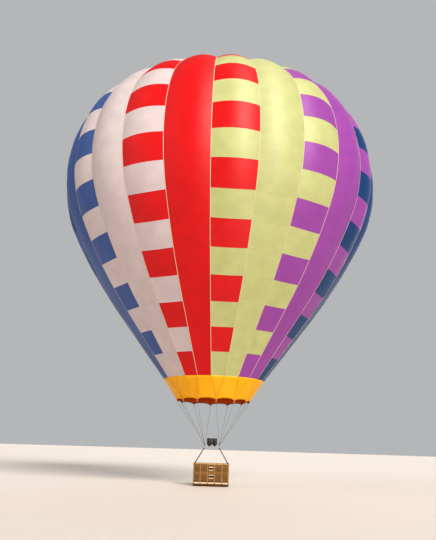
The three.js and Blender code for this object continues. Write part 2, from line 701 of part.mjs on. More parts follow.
// Padded uprights that lean in from the rim's corners to the load frame's corners
function upright(corner) {
  const rimMiddle = RIM_OVERHANG - RIM_WIDTH / 2;
  const inFromCorner = BASKET_CORNER - (BASKET_CORNER + rimMiddle) * Math.SQRT1_2;
  const from = [corner.x * (BASKET_WIDTH / 2 - inFromCorner), corner.y * (BASKET_DEPTH / 2 - inFromCorner)];
  const to = [corner.x * FRAME_HALF_WIDTH, corner.y * FRAME_HALF_DEPTH];
  const length = FRAME_BOTTOM - RIM_TOP - 2 * SEAM;
  const lean = new THREE.Matrix4().set(
    1, 0, (to[0] - from[0]) / length, from[0],
    0, 1, (to[1] - from[1]) / length, from[1],
    0, 0, 1, RIM_TOP + SEAM,
    0, 0, 0, 1,
  );
  return new THREE.CylinderGeometry(UPRIGHT_RADIUS, UPRIGHT_RADIUS, length, UPRIGHT_SIDES)
    .rotateX(Math.PI / 2)
    .translate(0, 0, length / 2)
    .applyMatrix4(lean);
}

for (const corner of CORNERS) {
  add(`upright_${corner.name}`, upright(corner), darkLeather);
}

// Fuel cylinders in their jackets
function fuelCylinder() {
  const bottom = FLOOR_TOP + SEAM;
  return turned([
    [0, bottom],
    [CYLINDER_FOOT_RADIUS, bottom],
    [CYLINDER_FOOT_RADIUS, bottom + 30],
    [CYLINDER_RADIUS, bottom + 60],
    [CYLINDER_RADIUS, bottom + CYLINDER_SHOULDER],
    [CYLINDER_COLLAR_RADIUS, bottom + CYLINDER_SHOULDER + 50],
    [CYLINDER_COLLAR_RADIUS, bottom + CYLINDER_TOP],
    [0, bottom + CYLINDER_TOP],
  ], CYLINDER_SIDES);
}

for (const corner of CORNERS) {
  const inWall = WALL_THICKNESS + CYLINDER_TO_WALL + CYLINDER_RADIUS;
  const x = corner.x * (BASKET_WIDTH / 2 - inWall);
  const y = corner.y * (BASKET_DEPTH / 2 - inWall);
  add(`fuel_cylinder_${corner.name}`, fuelCylinder().translate(x, y, 0), jacket);
}

export default balloon;
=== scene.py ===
# Hot air balloon, standing inflated with its basket on the ground.
# Metres. Heights below are above the ground; the row frame's origin is 15 m up, in the hot air.

from math import asin, atan2, ceil, cos, floor, hypot, pi, radians, sin, sqrt

import bmesh
import bpy
from mathutils import Matrix, Vector


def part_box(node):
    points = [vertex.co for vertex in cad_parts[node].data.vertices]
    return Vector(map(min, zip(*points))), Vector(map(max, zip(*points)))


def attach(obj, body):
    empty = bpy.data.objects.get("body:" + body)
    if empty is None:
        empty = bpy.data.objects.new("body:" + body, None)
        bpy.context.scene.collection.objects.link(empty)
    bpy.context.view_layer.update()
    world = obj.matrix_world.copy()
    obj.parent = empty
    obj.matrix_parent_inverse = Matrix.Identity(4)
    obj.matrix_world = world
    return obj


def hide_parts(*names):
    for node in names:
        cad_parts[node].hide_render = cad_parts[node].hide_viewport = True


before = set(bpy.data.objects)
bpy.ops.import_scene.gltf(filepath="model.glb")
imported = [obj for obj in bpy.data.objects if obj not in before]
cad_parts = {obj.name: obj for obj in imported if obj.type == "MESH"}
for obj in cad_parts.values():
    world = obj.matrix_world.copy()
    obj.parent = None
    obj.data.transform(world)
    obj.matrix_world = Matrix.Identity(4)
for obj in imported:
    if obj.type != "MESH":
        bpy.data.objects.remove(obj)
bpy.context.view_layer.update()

scene = bpy.context.scene
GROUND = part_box("skid_front")[0].z

# The photograph's camera, found from the envelope's seams
IMAGE_HEIGHT = 540
FOCAL_PIXELS = 616
CAMERA_PLACE = Vector((0.042, -32.93, 1.89 + GROUND))
CAMERA_PITCH = radians(16.03)
CAMERA_ROLL = radians(1.72)

# Envelope: the load tapes' meridian, from the mouth band up to the crown
BAND_TOP_RADIUS = 2.63
BAND_TOP_HEIGHT = 5.25
CONE_SLOPE = radians(52.6)
CONE_LENGTH = 4.27
FLARE_RADIUS = 21.76
FLARE_END_SLOPE = radians(65.8)
SHOULDER_RADIUS = 7.18
SHOULDER_END_SLOPE = radians(106.8)
BROW_RADIUS = 5.25
BROW_END_SLOPE = radians(147)

# Gores
GORES = 24
GORE_ANGLE = 2 * pi / GORES
FIRST_TAPE_AZIMUTH = radians(-3)
BULGE = 0.227
BULGE_START = 3.0
BULGE_FULL = 11.9
BULGE_FADE = 2.58
PANEL = 1.323
PANEL_STEPS = 8
GORE_COLUMNS = 14
PILLOW = 0.014
PUCKER = 0.008
PUCKERS_PER_PANEL = 2.5

# Vent, parachute and crown
VENT_RADIUS = 2.4
PARACHUTE_RADIUS = 2.75
PARACHUTE_DEPTH = 0.0149
HEM_WIDTH = 0.06
CROWN_RING_RADIUS = 0.115
CROWN_RING_THICKNESS = 0.024
TAPE_WIDTH = 0.03
TAPE_LIFT = 0.003
BAND_TAPE_WIDTH = 0.02

# Mouth band and its tips
WIRES = 12
WIRE_ANGLE = 2 * pi / WIRES
FIRST_WIRE_AZIMUTH = FIRST_TAPE_AZIMUTH + GORE_ANGLE / 2
BAND_TIP_RADIUS = 1.84
BAND_TIP_HEIGHT = 4.11
BAND_ARCH = 0.10
BAND_ROWS = 12
BAND_STEPS_PER_WIRE = 16

# Load frame, gimbal and burners
FRAME_HEIGHT = 1.89
FRAME_HALF_WIDTH = 0.38
FRAME_HALF_DEPTH = 0.31
FRAME_TUBE = 0.04
WIRE_DIAMETER = 0.010
WIRE_EYE_DROP = 0.07
WIRE_RING_RADIUS = 0.03
SHACKLE_TOP = 0.075
SHACKLE_ROUND = 0.022
BURNER_X = 0.135
CAN_RADIUS = 0.122
CAN_BOTTOM = 1.9863
CAN_HEIGHT = 0.33
BLOCK_WIDTH = 0.15
BLOCK_BOTTOM = 1.8963
BLOCK_HEIGHT = 0.09
COIL_RADIUS = 0.089
COIL_TUBE = 0.0095
COIL_TURNS = 9
COIL_STEPS = 28
COIL_RISE = 0.245
JET_RING_RADIUS = 0.05

# Basket
BASKET_WIDTH = 1.76
BASKET_DEPTH = 1.23
BASKET_CORNER = 0.11
WALL_THICKNESS = 0.035
FLOOR_TOP = 0.0673
SCUFF_BOTTOM = 0.025
SCUFF_TOP = 0.115
RAIL_TOP = 0.195
WALL_TOP = 1.03
RIM_HEIGHT = 0.06
RIM_WIDTH = 0.065
RIM_OVERHANG = 0.02
LONG_WALL_POSTS = (-0.54, -0.18, 0.18, 0.54)
END_WALL_POSTS = (-0.36, 0.0, 0.36)
POST_WIDTH = 0.042
FOOTHOLE_WIDTH = 0.2
FOOTHOLE_DEPTH = 0.09
FOOTHOLE_HEIGHTS = (0.46, 0.835)
BACK_FOOTHOLE_X = 0.36

# Wicker: upright stakes and the weavers that pass in front of one and behind the next
STAKE_SPACING = 0.048
WEAVER_PITCH = 0.024
WEAVE_WAVE = 0.004
WEAVER_ROUND = 0.005
# Height, half depth and brightness of the bands that differ from the rest of the weave
WALES = ((0.245, 0.03, 0.5), (0.43, 0.1, 0.84), (0.64, 0.07, 1.2), (0.755, 0.03, 0.6), (0.87, 0.045, 0.82),
         (0.95, 0.035, 1.2))

# Camera first, at the photograph's angle
camera_data = bpy.data.cameras.new("camera")
camera_data.sensor_width = 36
camera_data.lens = camera_data.sensor_width * FOCAL_PIXELS / IMAGE_HEIGHT
camera_data.clip_end = 2000
camera = bpy.data.objects.new("camera", camera_data)
camera.matrix_world = (
    Matrix.Translation(CAMERA_PLACE)
    @ Matrix.Rotation(pi / 2 + CAMERA_PITCH, 4, "X")
    @ Matrix.Rotation(CAMERA_ROLL, 4, "Z")
)
scene.collection.objects.link(camera)
scene.camera = camera


# Materials

def linear(code):
    """An sRGB hex colour as linear red, green, blue and 1."""
    parts = [int(code[i:i + 2], 16) / 255 for i in (1, 3, 5)]
    return (*[c / 12.92 if c <= 0.04045 else ((c + 0.055) / 1.055) ** 2.4 for c in parts], 1.0)


def node(tree, kind, inputs=None, **settings):
    """Adds a node of that kind, sets it, fills or links its inputs, and returns its outputs."""
    made = tree.nodes.new("ShaderNode" + kind)
    for name, value in settings.items():
        setattr(made, name, value)
    for name, value in (inputs or {}).items():
        if isinstance(value, bpy.types.NodeSocket):
            tree.links.new(value, made.inputs[name])
        else:
            made.inputs[name].default_value = value
    return made.outputs


def blank(name):
    """A new material and its empty node tree."""
    material = bpy.data.materials.new(name)
    material.use_nodes = True
    material.node_tree.nodes.clear()
    return material, material.node_tree


def balloon_cloth(name, code, glow=0.16):
    """Coated ripstop nylon: thin enough for light to pass, with a soft sheen from its coating,
    double-stitched panel seams and puckers where the load tapes gather it."""
    material, tree = blank(name)
    panels = node(tree, "UVMap", uv_map="panels")[0]
    metres = node(tree, "UVMap", uv_map="metres")[0]
    parts = node(tree, "SeparateXYZ", {0: panels})
    half = node(tree, "Math", {0: parts[1], 1: 0.5}, operation="PINGPONG")[0]
    # A seam is a flat fell about 20 mm wide, drawn 30 mm wide so that it shows
    seam = node(tree, "MapRange", {0: half, 1: 0.015 / PANEL, 2: 0.0, 3: 0.0, 4: 1.0})[0]
    edge = node(tree, "Math", {0: parts[0]}, operation="ABSOLUTE")[0]
    edge = node(tree, "Math", {0: edge, 1: 5.0}, operation="POWER")[0]
    # Puckers run in from the tapes, 60 to 150 mm apart
    stretched = node(tree, "Mapping", {0: metres, 3: (1.4, 9.0, 1.0)})[0]
    pucker = node(tree, "TexNoise", {"Vector": stretched, "Scale": 1.0, "Detail": 2.0})[0]
    pucker = node(tree, "Math", {0: pucker, 1: edge}, operation="MULTIPLY")[0]
    # Large soft creases, about 0.7 m apart
    crease = node(tree, "TexNoise", {"Vector": metres, "Scale": 1.4, "Detail": 3.0})[0]
    # Ripstop squares are 8 mm; drawn 40 mm, so that the grid shows from near by
    grid = node(tree, "TexBrick", {
        "Vector": metres, "Scale": 25.0, "Mortar Size": 0.03,
        "Color1": (1, 1, 1, 1), "Color2": (1, 1, 1, 1), "Mortar": (0, 0, 0, 1),
    }, offset=0.0)[0]
    colour = linear(code)
    dark = (*[c * 0.82 for c in colour[:3]], 1.0)
    seam_share = node(tree, "Math", {0: seam, 1: 0.55}, operation="MULTIPLY")[0]
    shown = node(tree, "MixRGB", {0: seam_share, 1: colour, 2: dark})[0]
    # Painted shade in the crease hollows and painted light on the crease ridges: the colour follows the
    # crease height
    painted_crease_shade = node(tree, "MapRange", {0: crease, 1: 0.3, 2: 0.7, 3: 0.94, 4: 1.04})[0]
    shown = node(tree, "MixRGB", {0: 1.0, 1: shown, 2: painted_crease_shade}, blend_type="MULTIPLY")[0]
    bump = node(tree, "Bump", {"Height": crease, "Distance": 0.03, "Strength": 0.35})[0]
    bump = node(tree, "Bump", {"Height": pucker, "Distance": 0.05, "Strength": 0.4, "Normal": bump})[0]
    bump = node(tree, "Bump", {"Height": seam, "Distance": 0.004, "Strength": 0.8, "Normal": bump})[0]
    bump = node(tree, "Bump", {"Height": grid, "Distance": 0.0006, "Strength": 0.5, "Normal": bump})[0]
    # Pulled tight between the tapes, the cloth spreads a highlight up and down a gore, not across it
    along = node(tree, "Tangent", uv_map="metres", direction_type="UV_MAP")[0]
    cloth = node(tree, "BsdfPrincipled", {
        "Base Color": shown, "Roughness": 0.5, "Specular IOR Level": 0.75, "Anisotropic": 0.7,
        "Anisotropic Rotation": 0.25, "Tangent": along, "Normal": bump,
    })[0]
    through = node(tree, "BsdfTranslucent", {"Color": shown, "Normal": bump})[0]
    surface = node(tree, "MixShader", {0: glow, 1: cloth, 2: through})[0]
    node(tree, "OutputMaterial", {"Surface": surface})
    return material


def webbing(name, code):
    """Woven polyester load tape: matt, with a fine twill across its width."""
    material, tree = blank(name)
    place = node(tree, "TexCoord")["Object"]
    # Twill ribs are 1.5 mm; drawn 6 mm
    twill = node(tree, "TexWave", {"Vector": place, "Scale": 26.0, "Distortion": 0.6},
                 bands_direction="DIAGONAL")[0]
    tone = node(tree, "MapRange", {0: twill, 3: 0.85, 4: 1.05})[0]
    shown = node(tree, "MixRGB", {0: 1.0, 1: linear(code), 2: tone}, blend_type="MULTIPLY")[0]
    bump = node(tree, "Bump", {"Height": twill, "Distance": 0.001, "Strength": 0.6})[0]
    surface = node(tree, "BsdfPrincipled", {
        "Base Color": shown, "Roughness": 0.75, "Sheen Weight": 0.2, "Normal": bump})[0]
    node(tree, "OutputMaterial", {"Surface": surface})
    return material


def brushed_metal(name, code, roughness, grain=220.0, tint=0.12):
    """Stainless steel or alloy, drawn and handled: fine grain, and broad patches of heat or hand marks."""
    material, tree = blank(name)
    place = node(tree, "TexCoord")["Object"]
    fine = node(tree, "TexNoise", {"Vector": place, "Scale": grain, "Detail": 3.0})[0]
    broad = node(tree, "TexNoise", {"Vector": place, "Scale": 9.0, "Detail": 4.0})[0]
    tone = node(tree, "MapRange", {0: broad, 1: 0.3, 2: 0.7, 3: 1.0 - tint, 4: 1.0 + tint / 2})[0]
    shown = node(tree, "MixRGB", {0: 1.0, 1: linear(code), 2: tone}, blend_type="MULTIPLY")[0]
    rough = node(tree, "MapRange", {
        0: broad, 1: 0.3, 2: 0.7, 3: roughness * 0.8, 4: roughness * 1.25})[0]
    bump = node(tree, "Bump", {"Height": fine, "Distance": 0.0004, "Strength": 0.4})[0]
    surface = node(tree, "BsdfPrincipled", {
        "Base Color": shown, "Metallic": 1.0, "Roughness": rough, "Normal": bump})[0]
    node(tree, "OutputMaterial", {"Surface": surface})
    return material


def leather(name, code, wear_code, roughness=0.55):
    """Hide sewn over padding: pebbled grain of 3 to 5 mm, rubbed pale where hands and boots touch it."""
    material, tree = blank(name)
    place = node(tree, "TexCoord")["Object"]
    grain = node(tree, "TexVoronoi", {"Vector": place, "Scale": 240.0}, feature="F1")[0]
    wear = node(tree, "TexNoise", {"Vector": place, "Scale": 7.0, "Detail": 5.0})[0]
    rubbed = node(tree, "MapRange", {0: wear, 1: 0.48, 2: 0.66, 3: 0.0, 4: 0.7})[0]
    shown = node(tree, "MixRGB", {0: rubbed, 1: linear(code), 2: linear(wear_code)})[0]
    bump = node(tree, "Bump", {"Height": grain, "Distance": 0.0008, "Strength": 0.5})[0]
    bump = node(tree, "Bump", {"Height": wear, "Distance": 0.004, "Strength": 0.4, "Normal": bump})[0]
    surface = node(tree, "BsdfPrincipled", {
        "Base Color": shown, "Roughness": roughness, "Sheen Weight": 0.1, "Normal": bump})[0]
    node(tree, "OutputMaterial", {"Surface": surface})
    return material


def woven_cane(name, code, dark_code):
    """Varnished willow: each weaver is a little lighter or darker than the next, and painted shade darkens
    the grooves between the rows of weavers.
    Wales, three rods thick and darker with varnish, bind it at their heights; paler rows lie between."""
    material, tree = blank(name)
    metres = node(tree, "UVMap", uv_map="metres")[0]
    parts = node(tree, "SeparateXYZ", {0: metres})
    row = node(tree, "Math", {0: parts[1], 1: WEAVER_PITCH}, operation="DIVIDE")[0]
    row_number = node(tree, "Math", {0: row}, operation="FLOOR")[0]
    across = node(tree, "Math", {0: row, 1: 0.5}, operation="PINGPONG")[0]
    # Painted shade along the grooves between the rows of weavers
    groove_painted_shade = node(tree, "MapRange", {0: across, 1: 0.0, 2: 0.16, 3: 1.0, 4: 0.0})[0]
    mark = node(tree, "CombineXYZ", {0: row_number, 1: parts[0]})[0]
    mark = node(tree, "Mapping", {0: mark, 3: (3.7, 2.0, 1.0)})[0]
    tone = node(tree, "TexNoise", {"Vector": mark, "Scale": 1.0, "Detail": 1.0})[0]
    # Cane fibres, under 1 mm; drawn 2 mm wide and 60 mm long
    fibres = node(tree, "Mapping", {0: metres, 3: (16.0, 500.0, 1.0)})[0]
    fibre = node(tree, "TexNoise", {"Vector": fibres, "Scale": 1.0, "Detail": 2.0})[0]
    lit = node(tree, "MapRange", {0: tone, 1: 0.25, 2: 0.75, 3: 0.7, 4: 1.25})[0]
    for height, reach, share in WALES:
        apart = node(tree, "Math", {0: parts[1], 1: height}, operation="SUBTRACT")[0]
        apart = node(tree, "Math", {0: apart}, operation="ABSOLUTE")[0]
        wale = node(tree, "MapRange", {0: apart, 1: reach * 0.7, 2: reach, 3: share, 4: 1.0})[0]
        lit = node(tree, "Math", {0: lit, 1: wale}, operation="MULTIPLY")[0]
    shown = node(tree, "MixRGB", {0: 1.0, 1: linear(code), 2: lit}, blend_type="MULTIPLY")[0]
    shown = node(tree, "MixRGB", {0: groove_painted_shade, 1: shown, 2: linear(dark_code)})[0]
    bump = node(tree, "Bump", {"Height": fibre, "Distance": 0.001, "Strength": 0.5})[0]
    surface = node(tree, "BsdfPrincipled", {
        "Base Color": shown, "Roughness": 0.5, "Coat Weight": 0.25, "Coat Roughness": 0.3, "Normal": bump})[0]
    node(tree, "OutputMaterial", {"Surface": surface})
    return material


def plywood(name, code, dark_code):
    """Marine ply with a worn varnish: long grain along X, rings a few millimetres apart."""
    material, tree = blank(name)
    place = node(tree, "TexCoord")["Object"]
    along = node(tree, "Mapping", {0: place, 3: (3.0, 60.0, 60.0)})[0]
    grain = node(tree, "TexNoise", {"Vector": along, "Scale": 1.0, "Detail": 5.0, "Distortion": 0.4})[0]
    share = node(tree, "MapRange", {0: grain, 1: 0.35, 2: 0.65})[0]
    shown = node(tree, "MixRGB", {0: share, 1: linear(code), 2: linear(dark_code)})[0]
    bump = node(tree, "Bump", {"Height": grain, "Distance": 0.0008, "Strength": 0.4})[0]
    surface = node(tree, "BsdfPrincipled", {"Base Color": shown, "Roughness": 0.6, "Normal": bump})[0]
    node(tree, "OutputMaterial", {"Surface": surface})
    return material


def padded_nylon(name, code):
    """A cylinder's quilted jacket: heavy woven nylon with soft creases."""
    material, tree = blank(name)
    place = node(tree, "TexCoord")["Object"]
    # Threads are 0.5 mm; drawn 3 mm
    weave = node(tree, "TexWave", {"Vector": place, "Scale": 55.0}, bands_direction="Z")[0]
    crease = node(tree, "TexNoise", {"Vector": place, "Scale": 8.0, "Detail": 4.0})[0]
    lit = node(tree, "MapRange", {0: crease, 1: 0.3, 2: 0.7, 3: 0.8, 4: 1.25})[0]
    shown = node(tree, "MixRGB", {0: 1.0, 1: linear(code), 2: lit}, blend_type="MULTIPLY")[0]
    bump = node(tree, "Bump", {"Height": weave, "Distance": 0.0006, "Strength": 0.5})[0]
    bump = node(tree, "Bump", {"Height": crease, "Distance": 0.012, "Strength": 0.6, "Normal": bump})[0]
    surface = node(tree, "BsdfPrincipled", {
        "Base Color": shown, "Roughness": 0.8, "Sheen Weight": 0.25, "Normal": bump})[0]
    node(tree, "OutputMaterial", {"Surface": surface})
    return material


CLOTHS = {
    "red": balloon_cloth("ripstop_red", "#dc0610"),
    "lime": balloon_cloth("ripstop_lime", "#c8cb90"),
    "violet": balloon_cloth("ripstop_violet", "#a455ac"),
    "navy": balloon_cloth("ripstop_navy", "#04467e"),
    "blue": balloon_cloth("ripstop_blue", "#4664a2"),
    "white": balloon_cloth("ripstop_white", "#dacccc"),
}
HEATPROOF = balloon_cloth("aramid_yellow", "#ffc400", glow=0.2)
# The band's inner face: a darker, redder copy of the band cloth, painted shade inside the mouth
BAND_INSIDE_SHADE = balloon_cloth("aramid_inside_painted_shade", "#ff9c48", glow=0.4)
TAPE = webbing("load_tape_webbing", "#dccbb0")
BAND_TAPE = webbing("aramid_tape", "#f0a440")
STEEL = brushed_metal("stainless_steel", "#b4b6b8", 0.3)
WIRE_STEEL = brushed_metal("stranded_stainless", "#8c877c", 0.5, grain=400.0)
FRAME_STEEL = brushed_metal("dulled_tube_steel", "#c4c6c8", 0.36)
HEATED_STEEL = brushed_metal("heat_tinted_stainless", "#585450", 0.5, tint=0.35)
BRASS = brushed_metal("valve_brass", "#8a6c38", 0.35)
RIM_LEATHER = leather("tan_rim_leather", "#b0875a", "#cbb088")
RAIL_LEATHER = leather("pale_rail_hide", "#ccb79a", "#d8c6a4")
SCUFF_LEATHER = leather("dark_scuff_hide", "#4a2c12", "#6a4a2a")
POST_CANE = leather("cane_post_hide", "#a07a48", "#bc9866")
SLEEVE_LEATHER = leather("dark_sleeve_hide", "#33251c", "#4e3b2e")
WICKER = woven_cane("varnished_willow", "#7e5a26", "#3a240c")
# The walls' inner faces: a much darker copy of the willow, painted shade inside the basket
SHADED_WICKER = woven_cane("willow_inside_painted_shade", "#3c2814", "#1c1006")
PLYWOOD = plywood("worn_marine_ply", "#b08a5a", "#8a6238")
JACKET = padded_nylon("quilted_jacket_nylon", "#2a2f38")
RED_GRIP = padded_nylon("red_grip_rubber", "#b01c1c")


# Making pieces

def publish(name, mesh_maker, materials, body="balloon", replaces=(), sharp=40):
    """Turns a bmesh, made in heights above the ground, into a piece that rides on a body."""
    bm = bmesh.new()
    mesh_maker(bm)
    bmesh.ops.translate(bm, vec=(0, 0, GROUND), verts=bm.verts)
    mesh = bpy.data.meshes.new(name)
    bm.to_mesh(mesh)
    bm.free()
    for material in materials:
        mesh.materials.append(material)
    mesh.polygons.foreach_set("use_smooth", [True] * len(mesh.polygons))
    if sharp:
        mesh.set_sharp_from_angle(angle=radians(sharp))
    piece = bpy.data.objects.new(name, mesh)
    scene.collection.objects.link(piece)
    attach(piece, body)
    if replaces:
        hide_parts(*replaces)
    return piece


def thicken(piece, thickness, offset=-1.0):
    """Gives a sheet its thickness, inwards unless offset says otherwise."""
    wall = piece.modifiers.new("thickness", "SOLIDIFY")
    wall.thickness = thickness
    wall.offset = offset
    return wall


def block(bm, size, centre, bevel=0.0, turn=None):
    """A box with rounded edges."""
    made = bmesh.ops.create_cube(bm, size=1)["verts"]
    bmesh.ops.scale(bm, vec=size, verts=made)
    if bevel:
        edges = list({e for v in made for e in v.link_edges})
        made = bmesh.ops.bevel(bm, geom=edges, offset=bevel, segments=2, profile=0.5,
                               affect="EDGES", material=-1)["verts"]
    if turn:
        bmesh.ops.rotate(bm, verts=made, matrix=turn)
    bmesh.ops.translate(bm, vec=centre, verts=made)


def rod(bm, start, end, radius, end_radius=None, sides=16):
    """A round bar or cone between two points."""
    start, end = Vector(start), Vector(end)
    axis = end - start
    place = Matrix.Translation((start + end) / 2) @ axis.to_track_quat("Z", "Y").to_matrix().to_4x4()
    bmesh.ops.create_cone(
        bm, cap_ends=True, cap_tris=False, segments=sides, radius1=radius,
        radius2=radius if end_radius is None else end_radius, depth=axis.length, matrix=place,
    )


def angles(count):
    """That many angles, evenly round a circle."""
    return [2 * pi * k / count for k in range(count)]


def circle(x, y, height, radius, count):
    """Points of a level circle round (x, y)."""
    return [(x + radius * cos(a), y + radius * sin(a), height) for a in angles(count)]


def upwards(height):
    return Vector((0, 0, height))


def sweep(bm, rings, closed=False):
    """Extrudes the first ring of points through the others, and closes or caps the ends."""
    loop = [bm.verts.new(point) for point in rings[0]]
    edges = [bm.edges.new((a, b)) for a, b in zip(loop, loop[1:] + loop[:1])]
    start = list(loop)
    for points in rings[1:]:
        made = bmesh.ops.extrude_edge_only(bm, edges=edges)["geom"]
        fresh = [v for v in made if isinstance(v, bmesh.types.BMVert)]
        order = {v.co.to_tuple(6): i for i, v in enumerate(loop)}
        loop = sorted(fresh, key=lambda v: order[v.co.to_tuple(6)])
        edges = [bm.edges.get((a, b)) for a, b in zip(loop, loop[1:] + loop[:1])]
        for vert, point in zip(loop, points):
            vert.co = point
    if closed:
        bmesh.ops.weld_verts(bm, targetmap=dict(zip(loop, start)))
    else:
        bm.faces.new(start)
        bm.faces.new(loop)


def tube(bm, path, radius, sides=8, closed=False, flat=1.0):
    """A round or flattened tube along a path of points. flat is its height as a share of its width."""
    path = [Vector(point) for point in path]
    count = len(path)
    rings = []
    side = None
    for i, point in enumerate(path):
        before = path[i - 1] if closed or i else point
        after = path[(i + 1) % count] if closed or i < count - 1 else point
        along = (after - before).normalized()
        if side is None:
            side = along.cross(upwards(1))
            side = side.normalized() if side.length > 0.01 else along.cross(Vector((0, 1, 0))).normalized()
        side = (side - along * side.dot(along)).normalized()
        up = side.cross(along)
        rings.append([
            point + radius * (cos(a) * side + flat * sin(a) * up)
            for a in angles(sides)
        ])
    if closed:
        rings.append(rings[0])
    first = len(bm.faces)
    sweep(bm, rings, closed)
    bm.faces.ensure_lookup_table()
    bmesh.ops.recalc_face_normals(bm, faces=bm.faces[first:])


def turned(bm, profile, centre=(0, 0), steps=32):
    """Spins a profile of (radius, height) pairs round an upright axis."""
    x, y = centre
    verts = [bm.verts.new((x + radius, y, height)) for radius, height in profile]
    edges = [bm.edges.new(pair) for pair in zip(verts, verts[1:])]
    first = len(bm.faces)
    bmesh.ops.spin(bm, geom=verts + edges, cent=(x, y, 0), axis=(0, 0, 1), angle=2 * pi,
                   steps=steps, use_merge=True)
    bmesh.ops.remove_doubles(bm, verts=bm.verts, dist=1e-5)
    bm.faces.ensure_lookup_table()
    bmesh.ops.recalc_face_normals(bm, faces=bm.faces[first:])


def uv_layers(bm):
    """Places on the cloth counted in panels, and in metres."""
    return bm.loops.layers.uv.new("panels"), bm.loops.layers.uv.new("metres")


def face_outwards(bm, outward):
    """Turns every face over if they face inwards on the whole."""
    if outward < 0:
        bmesh.ops.reverse_faces(bm, faces=bm.faces)


# The envelope's surface

def bend(start, radius, slope):
    """The end of an arc of that radius that starts at (radius, height, slope) and ends at a slope."""
    r, z, from_slope = start
    return (
        r + radius * (sin(slope) - sin(from_slope)),
        z + radius * (cos(from_slope) - cos(slope)),
        slope,
    )


CONE_START = (BAND_TOP_RADIUS, BAND_TOP_HEIGHT, CONE_SLOPE)
CONE_END = (
    BAND_TOP_RADIUS + CONE_LENGTH * cos(CONE_SLOPE),
    BAND_TOP_HEIGHT + CONE_LENGTH * sin(CONE_SLOPE),
    CONE_SLOPE,
)
FLARE_END = bend(CONE_END, FLARE_RADIUS, FLARE_END_SLOPE)
SHOULDER_END = bend(FLARE_END, SHOULDER_RADIUS, SHOULDER_END_SLOPE)
BROW_END = bend(SHOULDER_END, BROW_RADIUS, BROW_END_SLOPE)
CROWN_RADIUS = BROW_END[0] / sin(BROW_END_SLOPE)
CROWN_CENTRE = BROW_END[1] + CROWN_RADIUS * cos(BROW_END_SLOPE)
FLARE_LENGTH = FLARE_RADIUS * (FLARE_END_SLOPE - CONE_SLOPE)
SHOULDER_LENGTH = SHOULDER_RADIUS * (SHOULDER_END_SLOPE - FLARE_END_SLOPE)
BROW_LENGTH = BROW_RADIUS * (BROW_END_SLOPE - SHOULDER_END_SLOPE)
CROWN_START = CONE_LENGTH + FLARE_LENGTH + SHOULDER_LENGTH + BROW_LENGTH


def crown_distance(radius):
    """How far up the meridian the crown has that radius."""
    return CROWN_START + CROWN_RADIUS * (pi - asin(radius / CROWN_RADIUS) - BROW_END_SLOPE)


VENT_DISTANCE = crown_distance(VENT_RADIUS)
PANELS = ceil(VENT_DISTANCE / PANEL)


def meridian(distance):
    """Radius, height and slope at a distance up from the mouth band."""
    if distance <= CONE_LENGTH:
        r, z, slope = CONE_START
        return r + distance * cos(slope), z + distance * sin(slope), slope
    distance -= CONE_LENGTH
    if distance <= FLARE_LENGTH:
        return bend(CONE_END, FLARE_RADIUS, CONE_SLOPE + distance / FLARE_RADIUS)
    distance -= FLARE_LENGTH
    if distance <= SHOULDER_LENGTH:
        return bend(FLARE_END, SHOULDER_RADIUS, FLARE_END_SLOPE + distance / SHOULDER_RADIUS)
    distance -= SHOULDER_LENGTH
    if distance <= BROW_LENGTH:
        return bend(SHOULDER_END, BROW_RADIUS, SHOULDER_END_SLOPE + distance / BROW_RADIUS)
    distance -= BROW_LENGTH
    return bend(BROW_END, CROWN_RADIUS, BROW_END_SLOPE + distance / CROWN_RADIUS)


def smoothstep(value, low, high):
    share = min(max((value - low) / (high - low), 0.0), 1.0)
    return share * share * (3 - 2 * share)


def bulge(distance):
    """How far a gore's middle stands out from its chord, as a share of half the chord."""
    rise = smoothstep(distance, BULGE_START, BULGE_FULL)
    return BULGE * rise * smoothstep(VENT_DISTANCE - distance, 0, BULGE_FADE)


def round_axis(azimuth, forward, height, aside=0.0):
    """A point that far from the balloon's axis at an azimuth, and that far to the right of it."""
    return Vector((
        forward * sin(azimuth) + aside * cos(azimuth),
        -forward * cos(azimuth) + aside * sin(azimuth),
        height,
    ))


def chord_share(azimuth):
    """How near the axis a straight edge between two load tapes runs, as a share of the tapes' radius."""
    from_tape = (azimuth - FIRST_TAPE_AZIMUTH) % GORE_ANGLE
    return cos(GORE_ANGLE / 2) / cos(from_tape - GORE_ANGLE / 2)


def gore_point(number, across, distance, out=0.0):
    """A point of a gore: across runs from -1 at its first tape to 1 at its second."""
    radius, height, slope = meridian(distance)
    half = radius * sin(GORE_ANGLE / 2)
    swell = bulge(distance) * half * (1 - across * across) + out
    forward = radius * cos(GORE_ANGLE / 2) + swell * sin(slope)
    azimuth = FIRST_TAPE_AZIMUTH + (number + 0.5) * GORE_ANGLE
    return round_axis(azimuth, forward, height - swell * cos(slope), across * half)


def panel_distance(panels):
    """The distance up the meridian at that many panels; the last panel is cut short at the vent."""
    whole = PANELS - 1
    if panels <= whole:
        return panels * PANEL
    return whole * PANEL + (panels - whole) * (VENT_DISTANCE - whole * PANEL)


# Every second gore is one colour. The ones between take their panels in turn from both neighbours.
SOLID_GORES = {
    1: "lime", 3: "violet", 5: "navy", 7: "red", 9: "lime", 11: "blue",
    13: "white", 15: "violet", 17: "navy", 19: "blue", 21: "white", 23: "red",
}


def gore_colours(number):
    """The colours of the lowest panel and the one above it."""
    if number in SOLID_GORES:
        return SOLID_GORES[number], SOLID_GORES[number]
    return SOLID_GORES[number + 1], SOLID_GORES[(number - 1) % GORES]


def gore_area():
    """The flat area of one gore's cloth."""
    steps = 200
    total = 0.0
    for i in range(steps):
        distance = VENT_DISTANCE * (i + 0.5) / steps
        chord = 2 * meridian(distance)[0] * sin(GORE_ANGLE / 2)
        total += chord * (1 + 8 / 3 * (bulge(distance) / 2) ** 2) * VENT_DISTANCE / steps
    return total


